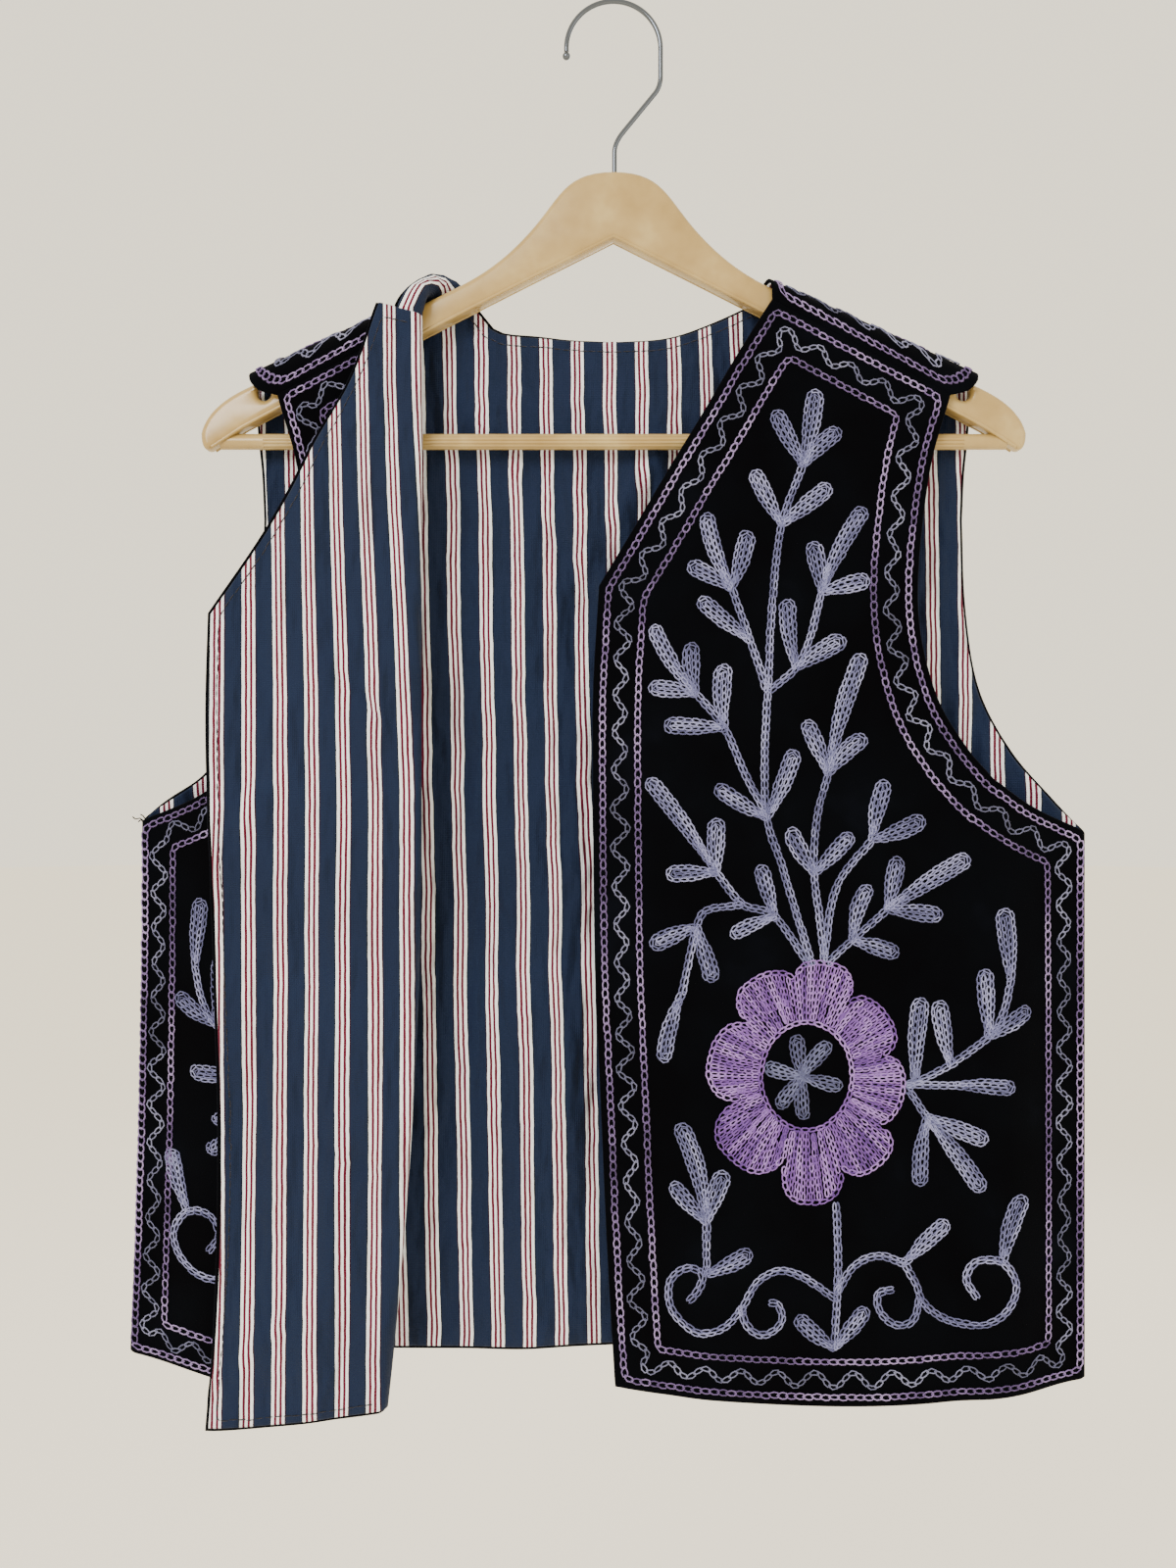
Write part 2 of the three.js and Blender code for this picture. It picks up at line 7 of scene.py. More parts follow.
import bpy
import numpy as np
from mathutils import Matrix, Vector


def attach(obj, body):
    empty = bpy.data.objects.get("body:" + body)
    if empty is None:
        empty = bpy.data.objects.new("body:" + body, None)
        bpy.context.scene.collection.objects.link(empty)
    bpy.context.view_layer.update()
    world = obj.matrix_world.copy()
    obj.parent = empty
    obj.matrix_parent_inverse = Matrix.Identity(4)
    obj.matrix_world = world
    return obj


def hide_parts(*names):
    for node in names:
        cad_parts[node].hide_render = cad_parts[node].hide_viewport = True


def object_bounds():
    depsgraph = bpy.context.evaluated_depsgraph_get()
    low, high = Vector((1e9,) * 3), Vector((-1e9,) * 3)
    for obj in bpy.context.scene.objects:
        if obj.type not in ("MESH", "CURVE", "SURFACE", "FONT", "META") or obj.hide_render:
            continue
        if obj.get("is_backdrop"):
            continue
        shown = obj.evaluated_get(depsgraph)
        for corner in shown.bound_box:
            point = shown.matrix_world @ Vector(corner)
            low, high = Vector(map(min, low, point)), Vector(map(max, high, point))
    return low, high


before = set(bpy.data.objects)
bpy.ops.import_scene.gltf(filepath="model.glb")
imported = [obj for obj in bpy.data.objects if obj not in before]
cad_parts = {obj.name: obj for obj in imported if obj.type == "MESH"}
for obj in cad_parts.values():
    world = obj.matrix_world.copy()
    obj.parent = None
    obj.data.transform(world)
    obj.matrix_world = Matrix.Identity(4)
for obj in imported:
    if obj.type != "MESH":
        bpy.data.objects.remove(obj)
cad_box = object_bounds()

print("construction model:", [[round(v, 4) for v in corner] for corner in cad_box])

# %% [markdown]
# ## Camera
# The vest is seen square on, from close by, with the camera level with its middle. A
# lens a little wider than normal takes in the whole hanger.

# %% Camera
VIEW_DISTANCE = 0.760
VIEW_HEIGHT = 0.800  # how much the frame takes in at the vest
SENSOR = 0.036

camera_data = bpy.data.cameras.new("camera")
camera_data.sensor_fit = "VERTICAL"
camera_data.sensor_height = SENSOR * 1000
camera_data.lens = SENSOR * 1000 * VIEW_DISTANCE / VIEW_HEIGHT
camera = bpy.data.objects.new("camera", camera_data)
camera.location = (-0.013, -VIEW_DISTANCE, -0.398)
camera.rotation_euler = (np.pi / 2, 0, 0)
bpy.context.scene.collection.objects.link(camera)
bpy.context.scene.camera = camera
print(f"lens {camera_data.lens:.1f} mm")

# %% [markdown]
# ## Colours and nodes
# Colours are picked as a screen shows them and turned to the linear values that the
# shader works in. One small function adds a node with its settings and its links.

# %% Colour and node helpers
MM = 0.001


def linear(hex_colour):
    values = [int(hex_colour[i:i + 2], 16) / 255 for i in (1, 3, 5)]
    return [v / 12.92 if v <= 0.04045 else ((v + 0.055) / 1.055) ** 2.4 for v in values] + [1]


def add_node(tree, kind, sockets=None, **settings):
    node = tree.nodes.new(kind)
    for name, value in settings.items():
        setattr(node, name, value)
    for name, value in (sockets or {}).items():
        if isinstance(value, bpy.types.NodeSocket):
            tree.links.new(value, node.inputs[name])
        else:
            node.inputs[name].default_value = value
    return node


def new_material(name, sockets):
    material = bpy.data.materials.new(name)
    material.use_nodes = True
    shader = material.node_tree.nodes["Principled BSDF"]
    for socket, value in sockets.items():
        shader.inputs[socket].default_value = value
    return material, material.node_tree, shader


def set_ramp(node, stops, mode="LINEAR"):
    ramp = node.color_ramp
    ramp.interpolation = mode
    while len(ramp.elements) < len(stops):
        ramp.elements.new(0.5)
    for element, (place, colour) in zip(ramp.elements, stops):
        element.position = place
        element.color = linear(colour)


# %% [markdown]
# ## Stage
# A pale floor well below the hem, a pale room and three large soft lamps: the main one
# from above on the left, a weaker one on the right and one behind. The floor is an opal
# sheet lit faintly from below, so that it meets the room without a hard horizon.

# %% Floor, room and lamps
FLOOR_DROP = 0.45
ROOM_LIGHT = 2.0

bpy.ops.object.select_all(action="DESELECT")
bpy.ops.mesh.primitive_circle_add(vertices=64, radius=14, fill_type="NGON",
                                  location=(0, 0, cad_box[0][2] - FLOOR_DROP))
floor = bpy.context.object
floor.name = "studio_floor"
opal, _, _ = new_material("opal_acrylic_floor", {
    "Base Color": linear("#DCD7CD"), "Roughness": 0.9, "Specular IOR Level": 0.0,
    "Emission Color": linear("#EDE3CC"), "Emission Strength": 0.32 * ROOM_LIGHT})
floor.data.materials.append(opal)
floor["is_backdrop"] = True

room = bpy.data.worlds.new("pale_room")
bpy.context.scene.world = room
room.use_nodes = True
background = room.node_tree.nodes["Background"]
background.inputs["Color"].default_value = linear("#EDE3CC")
background.inputs["Strength"].default_value = ROOM_LIGHT

LAMPS = [
    # name, place, aimed at, width, watts
    ("main_lamp", (-0.9, -1.7, 0.5), (0, 0, -0.4), 0.8, 34),
    ("side_lamp", (1.5, -1.3, -0.1), (0, 0, -0.4), 1.2, 5),
    ("rear_lamp", (0.6, 1.9, 0.4), (0, 0, -0.4), 1.4, 16),
]
for name, place, target, width, watts in LAMPS:
    lamp = bpy.data.lights.new(name, "AREA")
    lamp.size = width
    lamp.energy = watts
    lamp_object = bpy.data.objects.new(name, lamp)
    lamp_object.location = place
    aim = np.subtract(place, target)
    lamp_object.rotation_euler = (
        np.arctan2(np.hypot(aim[0], aim[1]), aim[2]), 0, np.arctan2(aim[0], -aim[1]))
    bpy.context.scene.collection.objects.link(lamp_object)
print("lamps:", [lamp[0] for lamp in LAMPS])

# %% [markdown]
# ## How the cloth hangs
# Each panel is described flat, as it was cut: x across from the centre line and z up, in
# millimetres as a pattern cutter writes them. A function then hangs any flat point in
# space. Cloth, stripes and stitches all go through the same function, so a stitch can't
# leave its cloth. These are the construction model's own sizes.

# %% Sizes of the hung vest
HALF_CHEST, CHEST_DEPTH, SHOULDER_DEPTH, DEPTH_GROWTH = 239, 14, 9.5, 230
SEAM_RADIUS, SIDE_RUN = 3, 52  # a tight turn at the side seam, then this far to full depth
SEAM_ARC = SEAM_RADIUS * np.pi / 2
SIDE_CUT = HALF_CHEST + SEAM_ARC - SEAM_RADIUS
ARMPIT_Z, HEM_Z = -423, -699
NECK_X, SHOULDER_Z, SHOULDER_SLOPE = 80, -152, 0.455
SEAM_Z, SEAM_SLOPE, SEAM_GAP = -154, 0.534, 0.3
FOLD_X, FOLD_RADIUS, FOLD_TURN = -101, 4, np.radians(175)
FOLD_ARC = FOLD_RADIUS * FOLD_TURN
TILT, ARMPIT_SHARE, NECK_DROP, SWAY = 0.097, 0.42, 0.31, 6


def smoothstep(value, low, high):
    share = np.clip((value - low) / (high - low), 0, 1)
    return share * share * (3 - 2 * share)


def lerp(a, b, share):
    return a + (b - a) * share


def shoulder_line(x):
    return SHOULDER_Z - SHOULDER_SLOPE * (np.abs(x) - NECK_X)


def seam_line(x):
    return SEAM_Z - SEAM_SLOPE * (np.abs(x) - NECK_X)


print(f"half the chest, cut flat: {SIDE_CUT:.0f} mm")

# %% [markdown]
# ### Folds and creases
# A hung vest is never flat. Soft vertical waves start below the chest, and pulled cloth
# makes slanting drag lines from the shoulders. Each one is a soft ridge or trough, given
# one by one. All fade out at the side seam, where front and back have to meet.

# %% Folds and creases
# x: middle at its top, lean: sideways run for each mm down, top and low: where it shows,
# width and deep: its size, ridge above 0 and trough below
FRONT_FOLDS = [
    dict(x=60, lean=0.05, top=-330, low=-700, width=26, deep=3.5),
    dict(x=128, lean=-0.12, top=-300, low=-720, width=30, deep=-3.0),
    dict(x=196, lean=-0.05, top=-440, low=-720, width=24, deep=4.0),
]
FRONT_CREASES = [
    dict(x=104, lean=-0.02, top=-250, low=-380, width=9, deep=-0.9),
    dict(x=150, lean=0.22, top=-330, low=-470, width=8, deep=0.8),
    dict(x=34, lean=0.03, top=-560, low=-715, width=10, deep=-1.1),
    dict(x=168, lean=-0.04, top=-590, low=-720, width=11, deep=-1.2),
]
BACK_FOLDS = [
    dict(x=-118, lean=0.18, top=-220, low=-560, width=22, deep=-4.0),
    dict(x=-40, lean=0.02, top=-380, low=-720, width=20, deep=-3.5),
    dict(x=26, lean=-0.04, top=-300, low=-700, width=24, deep=4.0),
    dict(x=96, lean=-0.2, top=-200, low=-520, width=24, deep=-3.5),
    dict(x=160, lean=0.03, top=-460, low=-720, width=28, deep=3.5),
]
BACK_CREASES = [
    dict(x=-92, lean=-0.75, top=-176, low=-300, width=7, deep=-4.1),
    dict(x=-66, lean=-0.5, top=-190, low=-330, width=8, deep=3.6),
    dict(x=-34, lean=-0.3, top=-200, low=-340, width=10, deep=-3.1),
    dict(x=60, lean=0.7, top=-176, low=-290, width=7, deep=-3.7),
    dict(x=78, lean=0.45, top=-190, low=-360, width=8, deep=3.7),
    dict(x=20, lean=0.2, top=-195, low=-330, width=9, deep=-2.7),
    dict(x=-62, lean=0.04, top=-420, low=-640, width=9, deep=2.7),
    dict(x=-14, lean=0.03, top=-330, low=-600, width=8, deep=-3.1),
    dict(x=8, lean=-0.06, top=-470, low=-700, width=9, deep=2.5),
]
FLAP_CREASES = [
    dict(x=-70, lean=0.75, top=-246, low=-350, width=8, deep=-4.4),
    dict(x=-44, lean=0.9, top=-330, low=-412, width=7, deep=-3.7),
    dict(x=-30, lean=-0.5, top=-372, low=-450, width=8, deep=3.1),
    dict(x=-58, lean=0.05, top=-410, low=-690, width=16, deep=4.1),
    dict(x=-20, lean=-0.03, top=-480, low=-715, width=12, deep=-3.7),
    dict(x=-80, lean=0.02, top=-500, low=-700, width=10, deep=-2.4),
    dict(x=-36, lean=1.6, top=-560, low=-604, width=7, deep=-2.4),
    dict(x=-70, lean=-1.1, top=-640, low=-690, width=8, deep=2.5),
]


def crease_depth(creases, x, z):
    total = np.zeros(np.broadcast(x, z).shape)
    for c in creases:
        middle = c["x"] - c["lean"] * (c["top"] - z)
        ends = min(90, (c["top"] - c["low"]) / 2.2)
        along = smoothstep(c["top"] - z, 0, ends) * smoothstep(z - c["low"], -60, 60)
        total += c["deep"] * along * np.exp(-(((x - middle) / c["width"]) ** 2))
    return total * (1 - np.exp(-(((SIDE_CUT - np.abs(x)) / 30) ** 2)))


print("folds and creases:", len(FRONT_FOLDS + FRONT_CREASES + BACK_FOLDS + BACK_CREASES))

# %% [markdown]
# ### Hanging the fronts
# A front is flat over most of its width and thins out to a tightly turned side seam. The
# turned front rolls over a line near its middle, with a small radius, and its free half
# lies in front of the rest.

# %% Hanging a front


def points(x, y, z):
    return np.stack(np.broadcast_arrays(x, y, z), axis=-1)


def body_point(x, z, facing, creases):
    chest = smoothstep(shoulder_line(x) - z, 0, DEPTH_GROWTH)
    deep = lerp(SHOULDER_DEPTH, CHEST_DEPTH, chest)
    inward = SIDE_CUT - np.abs(x) + SEAM_GAP / 2
    turn = np.minimum(inward, SEAM_ARC) / SEAM_RADIUS
    across = np.where(inward < SEAM_ARC, HALF_CHEST - SEAM_RADIUS * (1 - np.cos(turn)), np.abs(x))
    full = smoothstep(inward, SEAM_ARC, SEAM_ARC + SIDE_RUN)
    out = SEAM_RADIUS * np.sin(turn) + (deep - SEAM_RADIUS) * full
    return points(np.sign(x) * across, facing * (out + crease_depth(creases, x, z)), z)


def sway(point, x, z, lift):
    """The turned side is pulled up and out at its side seam."""
    swing = np.maximum(0, -x / SIDE_CUT) * np.maximum(0, ARMPIT_Z - z) / (ARMPIT_Z - HEM_Z)
    point[..., 0] -= SWAY * swing ** 2
    above = ARMPIT_SHARE * smoothstep(-z, 200, -ARMPIT_Z)
    point[..., 2] += lift * lerp(above, 1, smoothstep(-z, -ARMPIT_Z, -HEM_Z))
    return point


def hang_left_front(x, z):
    return body_point(x, z, -1, FRONT_FOLDS + FRONT_CREASES)


def fold_line(z):
    share = np.clip((-430 - z) / 280, 0, 1.1)
    return FOLD_X - 15.4 * share ** 1.8


def roll(s, turn):
    """How far a strip comes across and out, s past the line that it rolls over."""
    arc = FOLD_RADIUS * turn
    bend = np.minimum(s, arc) / FOLD_RADIUS
    beyond = np.maximum(0, s - arc)
    across = FOLD_RADIUS * np.sin(bend) + beyond * np.cos(turn)
    out = FOLD_RADIUS * (1 - np.cos(bend)) + beyond * np.sin(turn)
    return across, out


def roll_drop(s, z):
    return np.maximum(0, s) * NECK_DROP * smoothstep(z, -235, -165)


def hang_right_front(x, z):
    line = fold_line(z)
    s = np.maximum(0, x - line)
    base = np.minimum(x, line)
    point = body_point(base, z, -1, FRONT_FOLDS + FRONT_CREASES)
    across, out = roll(s, FOLD_TURN)
    point[..., 0] += across
    point[..., 1] -= out + crease_depth(FLAP_CREASES, x, z) * smoothstep(s, FOLD_ARC, FOLD_ARC + 18)
    point[..., 2] -= roll_drop(s, z)
    return sway(point, base, z, -TILT * (x - FOLD_X))


# %% [markdown]
# ### Hanging the back
# The back is cut in one and goes up over the hanger's arms, to the shoulder seams on
# their front side. Next to the neck on the turned side its edge rolls over as well,
# along a line that runs aslant into the fold of the turned front.

# %% Hanging the back
ROLL_UP = [0, 7, 14, 22, 31]  # mm up over the arm
ROLL_X = [-74, -80, -91, -98, FOLD_X]
ROLL_TURN = np.radians([0, 50, 120, 165, 175])
NECK_SAG = dict(x=-62, width=20, deep=8, high=-170, low=-230, clear=14)
ARMHOLE_SAG = dict(x=-205, z=-385, width=26, height=40, deep=9, from_seam=12)


def over_arm(x):
    return np.pi * SHOULDER_DEPTH + shoulder_line(x) - seam_line(x)


def arm_point(x, up):
    turn = np.minimum(up / SHOULDER_DEPTH, np.pi)
    past = np.maximum(0, up - np.pi * SHOULDER_DEPTH)
    z = shoulder_line(x) + SHOULDER_DEPTH * np.sin(turn) - past
    return points(x, SHOULDER_DEPTH * np.cos(turn), z)


def hang_over_arm(x, up):
    line = np.interp(up, ROLL_UP, ROLL_X)
    s = np.where(x < 0, np.maximum(0, x - line), 0)
    across, out = roll(s, np.maximum(np.interp(up, ROLL_UP, ROLL_TURN), 1e-6))
    rolled_x = np.where(s > 0, line + across, x)
    share = np.clip(up / over_arm(x), 0, 1)
    point = arm_point(lerp(rolled_x, x, smoothstep(share, 0.55, 1)), up)
    facing = np.minimum(up / SHOULDER_DEPTH, np.pi)
    point[..., 0] = rolled_x
    point[..., 1] += out * np.cos(facing)
    point[..., 2] += out * np.sin(facing) - roll_drop(s, SEAM_Z) * smoothstep(share, 0.4, 1)
    return point


def edge_sag(x, z):
    """The neckline and the armhole edge hang lower next to the turned front."""
    n, a = NECK_SAG, ARMHOLE_SAG
    neck = n["deep"] * np.exp(-(((x - n["x"]) / n["width"]) ** 2)) * smoothstep(z, n["low"], n["high"])
    armhole = a["deep"] * np.exp(-(((x - a["x"]) / a["width"]) ** 2) - ((z - a["z"]) / a["height"]) ** 2)
    clear = 1 - np.exp(-(((SIDE_CUT - np.abs(x)) / a["from_seam"]) ** 2))
    return neck * smoothstep(shoulder_line(x) - z, 0, n["clear"]) + armhole * clear


def hang_back(x, z):
    up = z - shoulder_line(x)
    lift = TILT * (SIDE_CUT + FOLD_X) * (x / SIDE_CUT) ** 2
    turned = x < 0
    body = body_point(x, z, 1, BACK_FOLDS + BACK_CREASES)
    swayed = sway(body.copy(), x, z, lift)
    swayed[..., 2] -= edge_sag(x, z)
    body = np.where(turned[..., None], swayed, body)
    return np.where((up > 0)[..., None], hang_over_arm(x, np.maximum(up, 0)), body)


# A panel is the function that hangs it and the side that its velvet faces.
LEFT = (hang_left_front, 1)
RIGHT = (hang_right_front, 1)
BACK = (hang_back, -1)


def place(panel, flat, height):
    """Flat points, in mm, put in space at a height above the hung surface, in metres."""
    hang, outward = panel
    x, z = flat[..., 0], flat[..., 1]
    step = 0.4
    right = hang(x + step, z) - hang(x - step, z)
    up = hang(x, z + step) - hang(x, z - step)
    normal = np.cross(right, up)
    normal /= np.linalg.norm(normal, axis=-1, keepdims=True)
    return (hang(x, z) + outward * np.expand_dims(height, -1) * normal) * MM


# %% [markdown]
# ## Cutting the panels
# Each row of a table runs across a panel, from its side seam or armhole to its front or
# neck edge. A smooth line goes through the rows and turns sharply only at the armpit.

# %% The cut
# edge x and z, turned edge x and z, side x and z
FRONT_CUT = np.array([
    (1, -699, 20, -708, SIDE_CUT, -699),
    (-3, -629, 11, -633, SIDE_CUT, -629),
    (-6, -560, 3, -562, SIDE_CUT, -560),
    (-9, -490, -5, -491, SIDE_CUT, -490),
    (-10, -412, -10, -412, SIDE_CUT, ARMPIT_Z),
    (-10, -354, -11, -360, 211, -410),
    (-7, -299, -10, -312, 190, -396),
    (11, -269, 14, -277, 175, -378),
    (28, -240, 30, -249, 160, -350),
    (45, -212, 44, -219, 152, -306),
    (62, -183, 57, -188, 158, -243),
    (80, seam_line(80) - SEAM_GAP, 71, seam_line(71) - SEAM_GAP, 169, seam_line(169) - SEAM_GAP),
])
# edge x and z, side x and z, share of the way over the arm
BACK_CUT = np.array([
    (0, -689, SIDE_CUT, -699, 0),
    (0, -624, SIDE_CUT, -629, 0),
    (0, -556, SIDE_CUT, -560, 0),
    (0, -486, SIDE_CUT, -490, 0),
    (0, -416, SIDE_CUT, ARMPIT_Z, 0),
    (0, -362, 225, -406, 0),
    (0, -312, 205, -381, 0),
    (0, -262, 189, -348, 0),
    (0, -214, 182, -306, 0),
    (0, -170, 180, -262, 0),
    (28, -168, 181, -238, 0),
    (52, -160, 183, -218, 0),
    (74, 0, 184, 0, 0),  # from here on the rows follow the arm
    (76, 0, 184, 0, 0.22),
    (78, 0, 184, 0, 0.42),
    (79, 0, 183, 0, 0.62),
    (80, 0, 178, 0, 0.82),
    (80, 0, 169, 0, 1),
])
ARMPIT_ROW, BREAK_ROW = 4, 6  # the front edge breaks into the neckline at the second
NECK_ROW, ARM_ROW = 9, 12
HEM_DIP, TURNED_HEM_DIP = 10, 6  # how far a front's hem sags between its corners
GRID = 5.0  # mm between the cloth's own grid lines


def across_shares(widths, spacing):
    """Places across a row, 0 at its side, at about a spacing that can change on the way."""
    places = [0.0]
    for width, step in zip(widths, spacing):
        count = max(1, round(width / step))
        places += list(places[-1] + width * (np.arange(count) + 1) / count)
    return np.array(places) / places[-1]


def refine(rows, corners):
    """Puts smooth rows between the rows of a flat grid, except across its corner rows."""
    finer = []
    bounds = [0, *corners, len(rows) - 1]
    for start, end in zip(bounds[:-1], bounds[1:]):
        run = rows[start:end + 1]
        slopes = np.gradient(run, axis=0)
        for i in range(len(run) - 1):
            longest = np.linalg.norm(run[i + 1] - run[i], axis=-1).max()
            f = np.arange(int(np.ceil(longest / GRID)))[:, None, None] / np.ceil(longest / GRID)
            finer.append(
                (1 + 2 * f) * (1 - f) ** 2 * run[i] + f * (1 - f) ** 2 * slopes[i]
                + f ** 2 * (3 - 2 * f) * run[i + 1] + f ** 2 * (f - 1) * slopes[i + 1])
    finer.append(rows[-1][None])
    return np.concatenate(finer)


def flat_row(side, edge, shares, dip):
    bow = dip * 4 * shares * (1 - shares)
    return np.stack([lerp(side[0], edge[0], shares), lerp(side[1], edge[1], shares) - bow], -1)


def hem_share(z):
    return smoothstep(-z, 480, -HEM_Z)


def cut_left_front():
    shares = across_shares([8, 44, SIDE_CUT - 52], [1.6, 4, GRID])
    rows = [flat_row(row[4:6], row[0:2], shares, HEM_DIP * hem_share(row[5])) for row in FRONT_CUT]
    return refine(np.array(rows), [ARMPIT_ROW, BREAK_ROW])


def cut_right_front():
    rows = []
    for row in FRONT_CUT:
        side, edge = (-row[4], row[5]), (-row[2], row[3])
        line = fold_line(row[5])
        stops = [side[0], lerp(side[0], line, 0.06), line, line + FOLD_ARC, edge[0]]
        places = [np.linspace(stops[i], stops[i + 1], count, endpoint=False)
                  for i, count in enumerate([6, 28, 10, 24])]
        shares = (np.append(np.concatenate(places), edge[0]) - side[0]) / (edge[0] - side[0])
        rows.append(flat_row(side, edge, shares, TURNED_HEM_DIP * hem_share(row[5])))
    return refine(np.array(rows), [ARMPIT_ROW, BREAK_ROW])


def cut_back():
    halves = []
    for mirror in (1, -1):
        rows = []
        for k, (edge_x, edge_z, side_x, side_z, over) in enumerate(BACK_CUT):
            shares = across_shares([8, 44, SIDE_CUT - 122, 70], [1.6, 4, GRID, 3.2])
            x = lerp(side_x, edge_x, shares)
            z = lerp(side_z, edge_z, shares)
            if k >= ARM_ROW:
                z = shoulder_line(x) + over * over_arm(x)
            rows.append(np.stack([mirror * x, z], -1))
        halves.append(refine(np.array(rows), [ARMPIT_ROW, NECK_ROW]))
    return halves


left_cut, right_cut = cut_left_front(), cut_right_front()
back_cuts = cut_back()
print("cloth grids:", left_cut.shape, right_cut.shape, [half.shape for half in back_cuts])

# %% [markdown]
# ## Velvet and cotton
# Velveteen is cotton with a short cut pile. It takes dye almost to black, has no gloss
# face on, and catches a bluish light where it turns away. Its pile lies unevenly where
# it was pressed, which shows as faint lighter patches.

# %% Velvet
velvet, tree, shader = new_material("dyed_cotton_velveteen", {
    "Roughness": 0.9, "Specular IOR Level": 0.04,
    "Sheen Weight": 0.05, "Sheen Roughness": 0.35, "Sheen Tint": linear("#7F88B8")})
place_of = add_node(tree, "ShaderNodeTexCoord").outputs["Object"]
PATCH = 55 * MM
pressed = add_node(tree, "ShaderNodeTexNoise", {
    "Vector": place_of, "Scale": 1 / PATCH, "Detail": 3.0, "Roughness": 0.55})
pile_colour = add_node(tree, "ShaderNodeValToRGB", {"Fac": pressed.outputs["Fac"]})
set_ramp(pile_colour, [(0.35, "#010103"), (0.6, "#020306"), (0.8, "#060810")])
tree.links.new(pile_colour.outputs["Color"], shader.inputs["Base Color"])
PILE = 1.1 * MM  # real pile is finer than a render can show
tufts = add_node(tree, "ShaderNodeTexNoise", {"Vector": place_of, "Scale": 1 / PILE, "Detail": 2.0})
nap = add_node(tree, "ShaderNodeBump", {
    "Height": tufts.outputs["Fac"], "Strength": 0.35, "Distance": 0.4 * MM})
tree.links.new(nap.outputs["Normal"], shader.inputs["Normal"])
print("velvet patches", PATCH / MM, "mm")

# %% [markdown]
# The lining is a plain-woven shirting cotton with woven stripes: a navy ground and white
# bands, each split by two wine-red pinstripes and edged with a dark line. The stripes
# follow the cut of each panel, so they are painted on its own UV map, which holds flat
# sizes in metres. A crinkle and a fine weave keep them from looking printed.

# %% Striped cotton
THREAD_PITCH = 0.9 * MM  # coarser than real shirting, so that it can show
RUMPLE = 13  # how much deeper the long slanted rumples are than the crinkle
WAVES_A_METRE = np.pi / 10  # a wave texture of scale 1 has this period in metres
WHITE, NAVY, WINE, WINE_EDGE, DARK_EDGE = "#F4F8FF", "#0F1D38", "#5C0024", "#2A0518", "#05070E"
# where each colour starts, in mm from a band's edge
STRIPES = [(0, WINE_EDGE), (0.5, WHITE), (1.9, WINE), (3.1, WHITE), (4.4, WINE), (5.6, WHITE),
           (7.1, DARK_EDGE), (7.6, NAVY)]


